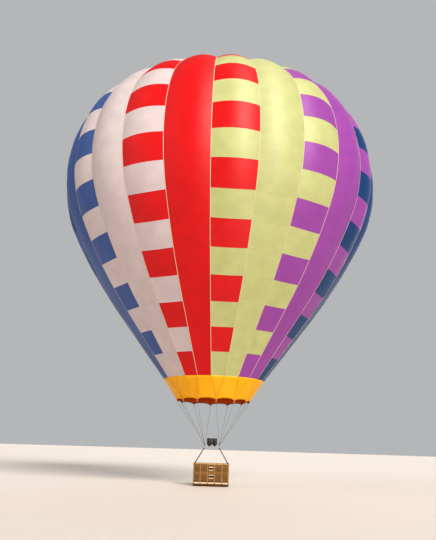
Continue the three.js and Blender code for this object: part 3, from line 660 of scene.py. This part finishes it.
def make_gore(number):
    def maker(bm):
        bmesh.ops.create_grid(bm, x_segments=GORE_COLUMNS, y_segments=PANELS * PANEL_STEPS, size=1)
        panels, metres = uv_layers(bm)
        for face in bm.faces:
            middle = (face.calc_center_median().y + 1) / 2 * PANELS
            face.material_index = int(middle) % 2
            for loop in face.loops:
                across, up = loop.vert.co.x, (loop.vert.co.y + 1) / 2 * PANELS
                distance = panel_distance(up)
                loop[panels].uv = (across, up)
                half = meridian(distance)[0] * sin(GORE_ANGLE / 2)
                loop[metres].uv = (number * 3 + across * half, distance)
        for vert in bm.verts:
            across, up = vert.co.x, (vert.co.y + 1) / 2 * PANELS
            distance = panel_distance(up)
            inside = 1 - across * across
            fold = up % 1
            pillow = PILLOW * (1 - (2 * fold - 1) ** 2) * inside * smoothstep(distance, 1.0, BULGE_FULL)
            wave = sin(2 * pi * (PUCKERS_PER_PANEL * up + 0.37 * number))
            pucker = PUCKER * wave * inside * across ** 4 * 4 * smoothstep(distance, 1.0, BULGE_FULL)
            vert.co = gore_point(number, across, distance, pillow + pucker)
    first, second = gore_colours(number)
    name = f"gore_{number + 1:02d}"
    piece = publish(f"cloth_{name}", maker, [CLOTHS[first], CLOTHS[second]], replaces=[name],
                    sharp=0)
    widest = 2 * max(meridian(VENT_DISTANCE * i / 50)[0] for i in range(51)) * sin(GORE_ANGLE / 2)
    gore_area()


for number in range(GORES):
    make_gore(number)


# Mouth band

BAND_DROP = BAND_TOP_HEIGHT - BAND_TIP_HEIGHT


def band_point(azimuth, height, out=0.0):
    """A point of the mouth band, which is flat between the load tapes at its top."""
    up = (height - BAND_TIP_HEIGHT) / BAND_DROP
    radius = (BAND_TIP_RADIUS + (BAND_TOP_RADIUS - BAND_TIP_RADIUS) * up) * chord_share(azimuth) + out
    return round_axis(azimuth, radius, height)


def band_bottom(azimuth):
    """The height of the band's arched lower edge."""
    share = (azimuth - FIRST_WIRE_AZIMUTH) / WIRE_ANGLE % 1
    return BAND_TIP_HEIGHT + BAND_ARCH * (1 - abs(2 * share - 1) ** 3)


def mouth_band(bm):
    columns = WIRES * BAND_STEPS_PER_WIRE
    bmesh.ops.create_grid(bm, x_segments=columns, y_segments=BAND_ROWS, size=1)
    panels, metres = uv_layers(bm)
    for face in bm.faces:
        for loop in face.loops:
            turn, up = (loop.vert.co.x + 1) / 2, (loop.vert.co.y + 1) / 2
            loop[panels].uv = (0.0, 0.15 + up * 0.7)
            loop[metres].uv = (turn * 14.0, up * 1.4)
    for vert in bm.verts:
        azimuth = FIRST_WIRE_AZIMUTH + (vert.co.x + 1) * pi
        up = (vert.co.y + 1) / 2
        bottom = band_bottom(azimuth)
        height = bottom + (BAND_TOP_HEIGHT - bottom) * up
        ease = up * (1 - up) * 4
        ripple = 0.004 * ease * sin(azimuth * GORES) + 0.002 * ease * sin(azimuth * 53)
        vert.co = band_point(azimuth, height, ripple)
    bmesh.ops.remove_doubles(bm, verts=bm.verts, dist=1e-4)


band = publish("mouth_band_cloth", mouth_band, [HEATPROOF, BAND_INSIDE_SHADE], replaces=["mouth_band"],
               sharp=0)
# The inner face takes the next material, painted shade inside the mouth
thicken(band, 0.004).material_offset = 1
band_slant = hypot(BAND_DROP, BAND_TOP_RADIUS - BAND_TIP_RADIUS)
band_area = pi * (BAND_TOP_RADIUS + BAND_TIP_RADIUS) * band_slant
band_area -= 3 / 4 * BAND_ARCH * 2 * pi * BAND_TIP_RADIUS


def band_hem(bm):
    """The rolled binding along the arched lower edge."""
    steps = WIRES * BAND_STEPS_PER_WIRE
    path = []
    for step in range(steps):
        azimuth = FIRST_WIRE_AZIMUTH + 2 * pi * step / steps
        path.append(band_point(azimuth, band_bottom(azimuth)))
    tube(bm, path, 0.012, sides=6, closed=True)


publish("mouth_hem", band_hem, [HEATPROOF])


# Parachute, and the crown over it

def parachute(bm):
    size = CROWN_RADIUS - PARACHUTE_DEPTH
    rings = 14
    edge = asin(PARACHUTE_RADIUS / CROWN_RADIUS)
    profile = []
    for ring in range(rings + 1):
        angle = edge * ring / rings
        profile.append((size * sin(angle), CROWN_CENTRE + size * cos(angle)))
    turned(bm, profile, steps=96)
    panels, metres = uv_layers(bm)
    for face in bm.faces:
        for loop in face.loops:
            x, y, _ = loop.vert.co
            loop[panels].uv = (0.0, 0.5 + atan2(x, -y) / GORE_ANGLE)
            loop[metres].uv = (x, y)
    for vert in bm.verts:
        azimuth = atan2(vert.co.x, -vert.co.y)
        radius = hypot(vert.co.x, vert.co.y)
        vert.co.z -= radius * (1 - chord_share(azimuth)) * radius / CROWN_RADIUS
    face_outwards(bm, sum(face.normal.z for face in bm.faces))


cap = publish("parachute_cloth", parachute, [CLOTHS["red"]], body="parachute", replaces=["parachute_vent"],
              sharp=0)


def tape_rows():
    """Distances up the meridian for the load tapes' sections, from the band to the crown ring."""
    end = crown_distance(CROWN_RING_RADIUS)
    count = PANELS * PANEL_STEPS
    return [end * i / count for i in range(count + 1)]


def tape_edge(boundary, side, distance):
    """The edge of the load tape that follows that seam, on its left (-1), middle (0) or right (1)."""
    radius, height, slope = meridian(distance)
    if distance >= VENT_DISTANCE:
        azimuth = FIRST_TAPE_AZIMUTH + boundary * GORE_ANGLE
        across = side * TAPE_WIDTH / 2
        reach = radius + TAPE_LIFT * sin(slope)
        return round_axis(azimuth, reach, height - TAPE_LIFT * cos(slope), across)
    half = radius * sin(GORE_ANGLE / 2)
    share = 1 - TAPE_WIDTH / 2 / half if side else 1
    number, across = (boundary - 1, share) if side < 0 else (boundary, -share)
    return gore_point(number, across, distance, TAPE_LIFT)


def load_tapes(bm):
    rows = tape_rows()
    for boundary in range(GORES):
        made = bmesh.ops.create_grid(bm, x_segments=2, y_segments=len(rows) - 1, size=1)["verts"]
        for vert in made:
            row = round((vert.co.y + 1) / 2 * (len(rows) - 1))
            vert.co = tape_edge(boundary, round(vert.co.x), rows[row])


tapes = publish("load_tapes", load_tapes, [TAPE], replaces=["crown_web"], sharp=0)
thicken(tapes, 0.003, 1.0)


def sideways(azimuth):
    """The direction to the right of an azimuth."""
    return Vector((cos(azimuth), sin(azimuth), 0))


def band_tapes(bm):
    """The tapes' lower ends, which meet in pairs at the tips of the mouth band."""
    steps = 10
    for wire in range(WIRES):
        tip = FIRST_WIRE_AZIMUTH + wire * WIRE_ANGLE
        for side in (-1, 1):
            start = tip + side * GORE_ANGLE / 2
            made = bmesh.ops.create_grid(bm, x_segments=1, y_segments=steps, size=1)["verts"]
            for vert in made:
                down = (1 - vert.co.y) / 2
                azimuth = start + (tip - start) * down
                height = BAND_TOP_HEIGHT + 0.02 - (BAND_DROP + 0.02) * down
                centre = band_point(azimuth, height, 0.02)
                width = sideways(azimuth) * vert.co.x * BAND_TAPE_WIDTH / 2
                vert.co = centre + width


thicken(publish("band_tapes", band_tapes, [BAND_TAPE], sharp=0), 0.003, 1.0)


def tip_loops(bm):
    """The pale webbing loop at each tip, sewn over the meeting tapes."""
    for wire in range(WIRES):
        azimuth = FIRST_WIRE_AZIMUTH + wire * WIRE_ANGLE
        made = bmesh.ops.create_grid(bm, x_segments=1, y_segments=3, size=1)["verts"]
        for vert in made:
            up = (vert.co.y + 1) / 2
            height = BAND_TIP_HEIGHT - 0.045 + 0.2 * up
            width = sideways(azimuth) * vert.co.x * (0.024 + 0.012 * up)
            vert.co = band_point(azimuth, height, 0.027) + width


thicken(publish("tip_loops", tip_loops, [BAND_TAPE], sharp=0), 0.003, 1.0)


def crown_hem(bm):
    """The vent's bound edge, a tape that runs round under the load tapes."""
    path = []
    for corner in range(GORES):
        azimuth = FIRST_TAPE_AZIMUTH + corner * GORE_ANGLE
        radius = VENT_RADIUS - HEM_WIDTH / 2
        height = CROWN_CENTRE + sqrt(CROWN_RADIUS ** 2 - radius ** 2) - 0.004
        path.append(round_axis(azimuth, radius, height))
    tube(bm, path, HEM_WIDTH / 2, sides=8, closed=True, flat=0.12)


publish("vent_hem", crown_hem, [TAPE])


def crown_ring(bm):
    height = CROWN_CENTRE + CROWN_RADIUS + 0.004
    tube(bm, circle(0, 0, height, CROWN_RING_RADIUS, 48), CROWN_RING_THICKNESS / 2, sides=12, closed=True)


publish("crown_ring", crown_ring, [STEEL])


# Flying wires, with their end fittings and the shackles on the load frame

# Name, side of X, side of Y, and the first of the corner's three wires
CORNERS = (
    ("front_right", 1, -1, 0),
    ("back_right", 1, 1, 3),
    ("back_left", -1, 1, 6),
    ("front_left", -1, -1, 9),
)


def wire_eye(azimuth):
    """The middle of the ring that joins a wire to its tab on the mouth band."""
    return band_point(azimuth, BAND_TIP_HEIGHT) - upwards(WIRE_EYE_DROP)


def make_wires(name, x, y, first):
    foot = Vector((x * FRAME_HALF_WIDTH, y * FRAME_HALF_DEPTH, FRAME_HEIGHT + FRAME_TUBE / 2))
    shackle_top = foot + upwards(SHACKLE_TOP)
    azimuths = [FIRST_WIRE_AZIMUTH + (first + count) * WIRE_ANGLE for count in range(3)]

    def maker(bm):
        for azimuth in azimuths:
            eye = wire_eye(azimuth)
            along = (eye - shackle_top).normalized()
            wire_top = eye - along * WIRE_RING_RADIUS
            rod(bm, shackle_top, wire_top, WIRE_DIAMETER / 2, sides=8)
            # Swaged ferrules at both ends
            rod(bm, shackle_top + along * 0.05, shackle_top + along * 0.11, 0.009, sides=12)
            rod(bm, wire_top - along * 0.09, wire_top - along * 0.03, 0.009, sides=12)
        # The oval shackle stands in the corner's eye
        oval = []
        for a in angles(28):
            lift = 0.02 if sin(a) > 0 else -0.02
            reach = SHACKLE_ROUND * cos(a)
            height = 0.045 + SHACKLE_ROUND * sin(a) + lift
            oval.append(foot + Vector((reach * x, reach * -y, height)))
        tube(bm, oval, 0.006, sides=8, closed=True)
        rod(bm, foot + upwards(0.001), foot + upwards(0.012), 0.02, sides=20)

    publish(f"wire_set_{name}", maker, [WIRE_STEEL], replaces=[f"flying_wires_{name}"])

    def rings(bm):
        for azimuth in azimuths:
            eye = wire_eye(azimuth)
            out = Vector((sin(azimuth), -cos(azimuth), 0))
            side = sideways(azimuth)
            rise = (upwards(1) - out * 0.2).normalized()
            ring = [eye + WIRE_RING_RADIUS * (cos(a) * side + sin(a) * rise) for a in angles(24)]
            tube(bm, ring, 0.006, sides=8, closed=True)

    publish(f"wire_rings_{name}", rings, [STEEL])

    def tabs(bm):
        for azimuth in azimuths:
            tip = band_point(azimuth, BAND_TIP_HEIGHT)
            turn = Matrix.Rotation(azimuth, 3, "Z")
            block(bm, (0.05, 0.008, 0.085), tip - upwards(0.01), 0.002, turn)

    publish(f"wire_tabs_{name}", tabs, [TAPE])


for corner in CORNERS:
    make_wires(*corner)


# Load frame, gimbal and cradle keep their solids and get their metals; sockets and bosses are added

def paint(name, material):
    """Gives a CAD node its material."""
    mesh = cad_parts[name].data
    mesh.materials.clear()
    mesh.materials.append(material)


paint("load_frame", FRAME_STEEL)
paint("gimbal_ring", STEEL)
paint("burner_cradle", FRAME_STEEL)
for name in ("skid_front", "skid_middle", "skid_back", "basket_floor"):
    paint(name, PLYWOOD)


def frame_fittings(bm):
    """Sockets over the uprights, and the gimbal's pivot bosses."""
    for _, x, y, _ in CORNERS:
        place = Vector((x * FRAME_HALF_WIDTH, y * FRAME_HALF_DEPTH, FRAME_HEIGHT))
        rod(bm, place - upwards(0.05), place - upwards(FRAME_TUBE / 2 + 0.0002), 0.027, sides=20)
    for x in (-1, 1):
        outside = FRAME_HALF_WIDTH + FRAME_TUBE / 2
        rod(bm, (x * outside, 0, FRAME_HEIGHT), (x * (outside + 0.012), 0, FRAME_HEIGHT), 0.016, sides=20)


publish("frame_fittings", frame_fittings, [FRAME_STEEL])


# Burners

def make_burner(name, x):
    top = CAN_BOTTOM + CAN_HEIGHT

    def can(bm):
        wall = 0.004
        turned(bm, [
            (0.035, CAN_BOTTOM - 0.004), (CAN_RADIUS * 0.8, CAN_BOTTOM - 0.004),
            (CAN_RADIUS, CAN_BOTTOM + 0.03), (CAN_RADIUS, CAN_BOTTOM + 0.1),
            (CAN_RADIUS - 0.003, CAN_BOTTOM + 0.104),
            (CAN_RADIUS, CAN_BOTTOM + 0.108), (CAN_RADIUS, top - 0.06), (CAN_RADIUS - 0.003, top - 0.056),
            (CAN_RADIUS, top - 0.052), (CAN_RADIUS, top - 0.004), (CAN_RADIUS - wall / 2, top),
            (CAN_RADIUS - wall, top - 0.004), (CAN_RADIUS - wall, CAN_BOTTOM + 0.032),
            (CAN_RADIUS * 0.8 - wall, CAN_BOTTOM), (0.035, CAN_BOTTOM), (0.035, CAN_BOTTOM - 0.004),
        ], centre=(x, 0), steps=48)

    publish(f"burner_can_{name}", can, [HEATED_STEEL], body="burners", replaces=[f"burner_{name}"])

    def coil(bm):
        path = []
        for i in range(COIL_TURNS * COIL_STEPS + 1):
            a = 2 * pi * i / COIL_STEPS
            height = CAN_BOTTOM + 0.012 + COIL_RISE * (i / (COIL_TURNS * COIL_STEPS))
            path.append((x + COIL_RADIUS * cos(a), COIL_RADIUS * sin(a), height))
        tube(bm, path, COIL_TUBE, sides=8)
        # Jet ring at the foot of the coil, with its jets
        tube(bm, circle(x, 0, CAN_BOTTOM + 0.03, JET_RING_RADIUS, 32), 0.007, sides=8, closed=True)
        for foot in circle(x, 0, CAN_BOTTOM + 0.034, JET_RING_RADIUS, 12):
            rod(bm, foot, Vector(foot) + upwards(0.014), 0.003, 0.002, sides=8)

    publish(f"vapour_coil_{name}", coil, [HEATED_STEEL], body="burners", replaces=[f"burner_coil_{name}"])

    def valves(bm):
        middle = BLOCK_BOTTOM + BLOCK_HEIGHT / 2
        block(bm, (BLOCK_WIDTH * 0.7, BLOCK_WIDTH * 0.7, BLOCK_HEIGHT - 0.006), (x, 0, middle), 0.008)
        rod(bm, (x, 0, BLOCK_BOTTOM + BLOCK_HEIGHT - 0.006), (x, 0, CAN_BOTTOM + 0.002), 0.034, sides=24)
        rod(bm, (x, -0.05, middle), (x, -0.085, middle), 0.018, sides=20)
        rod(bm, (x, 0.05, middle), (x, 0.075, middle), 0.014, sides=20)
        # Fuel inlet with its thread
        rod(bm, (x - 0.05, 0.03, middle), (x - 0.075, 0.03, middle), 0.012, sides=6)
        rod(bm, (x + 0.05, 0.03, middle), (x + 0.072, 0.03, middle), 0.01, sides=16)
        # Round knob on the pilot valve: radius, and height above the block's middle
        knob = [(0, 0.02), (0.018, 0.02), (0.02, 0.024), (0.02, 0.036), (0.018, 0.04), (0, 0.04)]
        profile = [(radius, middle + height) for radius, height in knob]
        turned(bm, profile, centre=(x + 0.04, -0.055), steps=24)

    publish(f"valve_block_{name}", valves, [BRASS], body="burners")

    def lever(bm):
        middle = BLOCK_BOTTOM + BLOCK_HEIGHT / 2
        tube(bm, [(x, -0.075, middle), (x, -0.1, middle + 0.002), (x, -0.13, middle - 0.004),
                  (x, -0.17, middle - 0.01), (x, -0.205, middle - 0.012)], 0.008, sides=12, flat=0.7)

    publish(f"blast_lever_{name}", lever, [RED_GRIP], body="burners")


make_burner("left", -BURNER_X)
make_burner("right", BURNER_X)


def crossover_valve(bm):
    """The valve that feeds both burners from one line, on a stem between them."""
    foot = Vector((0, -0.1, BLOCK_BOTTOM))
    rod(bm, foot, foot + upwards(0.2), 0.011, sides=16)
    rod(bm, foot + upwards(0.2), foot + upwards(0.222), 0.024, sides=24)
    block(bm, (0.05, 0.04, 0.03), foot + upwards(0.05), 0.005)


publish("crossover_valve", crossover_valve, [STEEL], body="burners")


# Basket: points on its outline, by the distance from the middle of the front going towards +X

HALF_FRONT = BASKET_WIDTH / 2 - BASKET_CORNER
HALF_SIDE = BASKET_DEPTH / 2 - BASKET_CORNER
CORNER_ARC = BASKET_CORNER * pi / 2
QUARTER = HALF_FRONT + CORNER_ARC + HALF_SIDE
RIGHT_MIDDLE = QUARTER
BACK_MIDDLE = 2 * QUARTER
LEFT_MIDDLE = 3 * QUARTER
PERIMETER = 4 * QUARTER


def outline(distance, out=0.0):
    """The point of the basket's plan at a distance round it, and the direction out of the wall."""
    distance %= PERIMETER
    if distance >= 2 * QUARTER:
        place, away = outline(distance - 2 * QUARTER, out)
        return -place, -away
    if distance > QUARTER:
        place, away = outline(2 * QUARTER - distance, out)
        return Vector((place.x, -place.y, 0)), Vector((away.x, -away.y, 0))
    if distance <= HALF_FRONT:
        return Vector((distance, -BASKET_DEPTH / 2 - out, 0)), Vector((0, -1, 0))
    if distance <= HALF_FRONT + CORNER_ARC:
        a = (distance - HALF_FRONT) / BASKET_CORNER
        nx, ny = sin(a), -cos(a)
        reach = BASKET_CORNER + out
        return Vector((HALF_FRONT + reach * nx, -HALF_SIDE + reach * ny, 0)), Vector((nx, ny, 0))
    up_side = distance - HALF_FRONT - CORNER_ARC
    return Vector((BASKET_WIDTH / 2 + out, -HALF_SIDE + up_side, 0)), Vector((1, 0, 0))


def outline_stops(spacing):
    """Distances round the plan, close together on the corners and spaced out along the sides."""
    stops = []
    for side in range(4):
        half = HALF_FRONT if side % 2 == 0 else HALF_SIDE
        start = side * QUARTER - half
        count = max(2, round(2 * half / spacing))
        stops += [start + 2 * half * i / count for i in range(count)]
        stops += [start + 2 * half + CORNER_ARC * i / 8 for i in range(8)]
    return stops


def weave_out(distance, height):
    """How far the wicker stands out at a place on the wall."""
    row = floor(height / WEAVER_PITCH)
    across = 2 * (height / WEAVER_PITCH - row) - 1
    over = cos(pi * (distance / STAKE_SPACING + row))
    return WEAVE_WAVE * over - WEAVER_ROUND * (1 - sqrt(max(0.0, 1 - across * across)))


def make_wall(name, middle, half_length, foothole_x=None):
    wall_height = WALL_TOP - FLOOR_TOP

    def maker(bm):
        columns = 4 * round(2 * half_length / STAKE_SPACING)
        rows = 4 * round(wall_height / WEAVER_PITCH)
        bmesh.ops.create_grid(bm, x_segments=columns, y_segments=rows, size=1)
        metres = bm.loops.layers.uv.new("metres")
        gone = []
        for face in bm.faces:
            centre = face.calc_center_median()
            along, height = centre.x * half_length, FLOOR_TOP + (centre.y + 1) / 2 * wall_height
            if foothole_x is not None and abs(along - foothole_x) < FOOTHOLE_WIDTH / 2:
                if min(abs(height - level) for level in FOOTHOLE_HEIGHTS) < FOOTHOLE_DEPTH / 2:
                    gone.append(face)
            for loop in face.loops:
                x, y = loop.vert.co.x, loop.vert.co.y
                loop[metres].uv = (middle + x * half_length, FLOOR_TOP + (y + 1) / 2 * wall_height)
        bmesh.ops.delete(bm, geom=gone, context="FACES")
        for vert in bm.verts:
            distance = middle + vert.co.x * half_length
            height = FLOOR_TOP + (vert.co.y + 1) / 2 * wall_height
            vert.co = outline(distance, weave_out(distance, height))[0] + upwards(height)
        outward = 0.0
        for face in bm.faces:
            centre = face.calc_center_median()
            outward += face.normal.dot(Vector((centre.x, centre.y, 0)))
        face_outwards(bm, outward)

    piece = publish(f"wicker_{name}", maker, [WICKER, SHADED_WICKER], replaces=[f"wall_{name}"],
                    sharp=0)
    # The inner face takes the second material, painted shade inside the basket
    thicken(piece, WALL_THICKNESS - 0.01).material_offset = 1


LONG_HALF = HALF_FRONT
END_HALF = HALF_SIDE + CORNER_ARC
make_wall("front", 0, LONG_HALF, 0)
make_wall("right", RIGHT_MIDDLE, END_HALF)
# Distances round the plan run towards -X at the back
make_wall("back", BACK_MIDDLE, LONG_HALF, -BACK_FOOTHOLE_X)
make_wall("left", LEFT_MIDDLE, END_HALF)


def post_places():
    """Distances round the plan at which an upright post stands."""
    places = []
    for middle, offsets in (
        (0, LONG_WALL_POSTS), (RIGHT_MIDDLE, END_WALL_POSTS),
        (BACK_MIDDLE, LONG_WALL_POSTS), (LEFT_MIDDLE, END_WALL_POSTS),
    ):
        places += [middle + offset for offset in offsets]
    corner = HALF_FRONT + CORNER_ARC / 2
    places += [corner, BACK_MIDDLE - corner, BACK_MIDDLE + corner, -corner]
    return places


def posts(bm):
    """Hide-bound cane posts, half round, from the lower rail to the rim."""
    for place in post_places():
        base, out = outline(place, 0.002)
        side = Vector((-out.y, out.x, 0))
        rings = []
        for height in (RAIL_TOP + 0.002, WALL_TOP - 0.001):
            centre = base + upwards(height)
            ring = []
            for k in range(9):
                a = pi * k / 8
                ring.append(centre + side * (POST_WIDTH / 2 * cos(a)) + out * (0.012 * sin(a)))
            rings.append(ring)
        sweep(bm, rings)
    bmesh.ops.recalc_face_normals(bm, faces=bm.faces)


publish("cane_posts", posts, [POST_CANE], sharp=30)


def roll(bm, out, height, width, depth, sides=16, spacing=0.12):
    """A padded roll that follows the basket's plan."""
    rings = []
    for distance in outline_stops(spacing):
        base, away = outline(distance, out)
        centre = base + upwards(height)
        ring = []
        for a in angles(sides):
            c, s = cos(a), sin(a)
            # A superellipse, fuller than a round
            swell = (abs(c) ** 3 + abs(s) ** 3) ** (-1 / 3)
            ring.append(centre + away * (width / 2 * c * swell) + upwards(depth / 2 * s * swell))
        rings.append(ring)
    rings.append(rings[0])
    sweep(bm, rings, closed=True)
    bmesh.ops.recalc_face_normals(bm, faces=bm.faces)


def rim(bm):
    roll(bm, RIM_OVERHANG - RIM_WIDTH / 2, WALL_TOP + RIM_HEIGHT / 2 + 0.0003, RIM_WIDTH, RIM_HEIGHT)


padded_rim = publish("padded_rim", rim, [RIM_LEATHER], replaces=["basket_rim"], sharp=0)


RIM_OUTER = RIM_OVERHANG + 0.001
RIM_INNER = RIM_OVERHANG - RIM_WIDTH - 0.001
RIM_TOP = WALL_TOP + RIM_HEIGHT + 0.001
# Distance out from the wall's face, and height
LACING_PATH = (
    (0.008, WALL_TOP - 0.03),
    (RIM_OUTER, WALL_TOP + 0.02),
    (RIM_OUTER, RIM_TOP - 0.014),
    (RIM_OUTER - 0.012, RIM_TOP),
    (RIM_INNER + 0.012, RIM_TOP),
    (RIM_INNER, RIM_TOP - 0.014),
    (RIM_INNER, WALL_TOP + 0.02),
    (-(WALL_THICKNESS + 0.004), WALL_TOP - 0.03),
)
LACING_SPACING = 0.12


def lacing(bm):
    """Thongs that tie the padded rim down to the wicker."""
    count = round(PERIMETER / LACING_SPACING)
    for i in range(count):
        base, away = outline(PERIMETER * i / count)
        path = [base + away * out + upwards(height) for out, height in LACING_PATH]
        tube(bm, path, 0.003, sides=6)


publish("rim_lacing", lacing, [SCUFF_LEATHER])


def lower_rail(bm):
    roll(bm, 0.006, (SCUFF_TOP + RAIL_TOP) / 2, 0.024, RAIL_TOP - SCUFF_TOP - 0.004)


publish("lower_rail_roll", lower_rail, [RAIL_LEATHER], replaces=["basket_lower_rail"],
        sharp=0)


def scuff_band(bm):
    roll(bm, 0.005, (SCUFF_TOP + SCUFF_BOTTOM) / 2, 0.012, SCUFF_TOP - SCUFF_BOTTOM - 0.004)


publish("scuff_hide", scuff_band, [SCUFF_LEATHER], replaces=["basket_scuff_band"],
        sharp=0)


def rail_ties(bm):
    """Five turns of cane round the lower rail below each post."""
    for place in post_places():
        base, away = outline(place)
        path = []
        for k in range(9):
            a = pi * (k / 8 - 0.5)
            height = (SCUFF_TOP + RAIL_TOP) / 2 + 0.045 * sin(a)
            path.append(base + away * (0.006 + 0.014 * cos(a)) + upwards(height))
        for turn in range(-2, 3):
            shift = Vector((-away.y, away.x, 0)) * turn * 0.011
            tube(bm, [point + shift for point in path], 0.0055, sides=6)


publish("rail_ties", rail_ties, [POST_CANE])


def foothole_frames(bm):
    """Pale hide sewn over the upper and lower edge of each foothole."""
    for sign, x in ((-1, 0), (1, BACK_FOOTHOLE_X)):
        for level in FOOTHOLE_HEIGHTS:
            for edge in (-1, 1):
                height = level + edge * (FOOTHOLE_DEPTH / 2 + 0.022)
                y = sign * (BASKET_DEPTH / 2 + 0.003)
                block(bm, (FOOTHOLE_WIDTH + 0.03, 0.012, 0.045), (x, y, height), 0.004)


publish("foothole_hide", foothole_frames, [RAIL_LEATHER])


# Uprights in their padded sleeves

def make_upright(name, x, y, _):
    mid = BASKET_CORNER - (BASKET_CORNER + RIM_OVERHANG - RIM_WIDTH / 2) * sqrt(0.5)
    start = Vector((x * (BASKET_WIDTH / 2 - mid), y * (BASKET_DEPTH / 2 - mid), RIM_TOP))
    end = Vector((x * FRAME_HALF_WIDTH, y * FRAME_HALF_DEPTH, FRAME_HEIGHT - FRAME_TUBE / 2 - 0.03))

    def maker(bm):
        steps = 24
        rings = []
        for i in range(steps + 1):
            share = i / steps
            centre = start.lerp(end, share)
            cuff = 0.004 if min(share, 1 - share) < 0.05 else 0.0
            radius = 0.019 + 0.0022 * abs(sin(share * pi * 6)) + cuff
            rings.append([centre + Vector(point) for point in circle(0, 0, 0, radius, 14)])
        sweep(bm, rings)
        bmesh.ops.recalc_face_normals(bm, faces=bm.faces)

    piece = publish(f"sleeve_{name}", maker, [SLEEVE_LEATHER], replaces=[f"upright_{name}"])


for corner in CORNERS:
    make_upright(*corner)


# Fuel cylinders: quilted jacket, guard collar, valve and gauge, and two straps round each

CYLINDER_RADIUS = 0.15
CYLINDER_IN = WALL_THICKNESS + 0.008 + CYLINDER_RADIUS


def make_cylinder(name, x, y, _):
    centre = (x * (BASKET_WIDTH / 2 - CYLINDER_IN), y * (BASKET_DEPTH / 2 - CYLINDER_IN))
    foot = FLOOR_TOP + 0.0003

    def jacket(bm):
        profile = [(0, foot + 0.001), (0.12, foot + 0.001), (0.13, foot + 0.02), (0.144, foot + 0.045)]
        for i in range(25):
            share = i / 24
            quilt = 0.0035 * abs(sin(share * pi * 5))
            profile.append((CYLINDER_RADIUS - 0.004 + quilt, foot + 0.06 + 0.64 * share))
        profile += [(0.14, foot + 0.735), (0.115, foot + 0.765), (0.08, foot + 0.775), (0, foot + 0.778)]
        turned(bm, profile, centre=centre, steps=40)

    piece = publish(f"jacket_{name}", jacket, [JACKET], replaces=[f"fuel_cylinder_{name}"])

    def collar(bm):
        guard = [(0.088, 0.76), (0.09, 0.76), (0.09, 0.85), (0.0885, 0.857),
                 (0.084, 0.857), (0.083, 0.85), (0.083, 0.76), (0.088, 0.76)]
        turned(bm, [(radius, foot + height) for radius, height in guard], centre=centre, steps=32)
        cx, cy = centre
        rod(bm, (cx, cy, foot + 0.77), (cx, cy, foot + 0.82), 0.018, sides=20)
        rod(bm, (cx + 0.02, cy, foot + 0.8), (cx + 0.05, cy, foot + 0.8), 0.01, sides=6)
        rod(bm, (cx, cy, foot + 0.82), (cx, cy, foot + 0.84), 0.03, sides=20)

    publish(f"cylinder_valve_{name}", collar, [STEEL])

    def straps(bm):
        cx, cy = centre
        reach = CYLINDER_RADIUS + 0.001
        for height in (0.3, 0.62):
            tube(bm, circle(cx, cy, foot + height, reach, 40), 0.0035, sides=6, closed=True, flat=6.0)

    publish(f"cylinder_straps_{name}", straps, [SCUFF_LEATHER])


for corner in CORNERS:
    make_cylinder(*corner)


# Studio: a plain pale floor, three broad near-white lamps and an even pale surround

FLOOR_RADIUS = 400
STUDIO_WHITE = (1.0, 0.96, 0.91)
# Name, azimuth from the photograph's side towards +X, height above the horizon, both in degrees,
# strength, and how many degrees wide the lamp looks
LAMPS = (
    ("key", 28, 30, 2.6, 30),
    ("fill", -60, 15, 0.45, 60),
    ("back_fill", 170, 25, 0.6, 60),
)


def studio_floor():
    material, tree = blank("studio_floor")
    surface = node(tree, "BsdfPrincipled", {"Base Color": linear("#dcd4cc"), "Roughness": 0.9})[0]
    node(tree, "OutputMaterial", {"Surface": surface})
    bm = bmesh.new()
    bmesh.ops.create_circle(bm, cap_ends=True, segments=96, radius=FLOOR_RADIUS)
    mesh = bpy.data.meshes.new("studio_floor")
    bm.to_mesh(mesh)
    bm.free()
    mesh.materials.append(material)
    stage = bpy.data.objects.new("studio_floor", mesh)
    stage.location.z = GROUND - 0.001
    scene.collection.objects.link(stage)


studio_floor()


def add_lamp(name, azimuth, height, energy, spread):
    """A distant, broad lamp."""
    data = bpy.data.lights.new(name, "SUN")
    data.energy = energy
    data.angle = radians(spread)
    data.color = STUDIO_WHITE
    lamp = bpy.data.objects.new(name, data)
    azimuth, height = radians(azimuth), radians(height)
    towards = Vector((
        sin(azimuth) * cos(height),
        -cos(azimuth) * cos(height),
        sin(height),
    ))
    lamp.rotation_mode = "QUATERNION"
    lamp.rotation_quaternion = towards.to_track_quat("Z", "Y")
    scene.collection.objects.link(lamp)


for lamp in LAMPS:
    add_lamp(*lamp)

world = bpy.data.worlds.new("studio")
world.use_nodes = True
world.node_tree.nodes.clear()
around = node(world.node_tree, "Background", {"Color": linear("#eceef0"), "Strength": 0.44})[0]
node(world.node_tree, "OutputWorld", {"Surface": around})
scene.world = world
scene.view_settings.view_transform = "Standard"
scene.view_settings.look = "High Contrast"
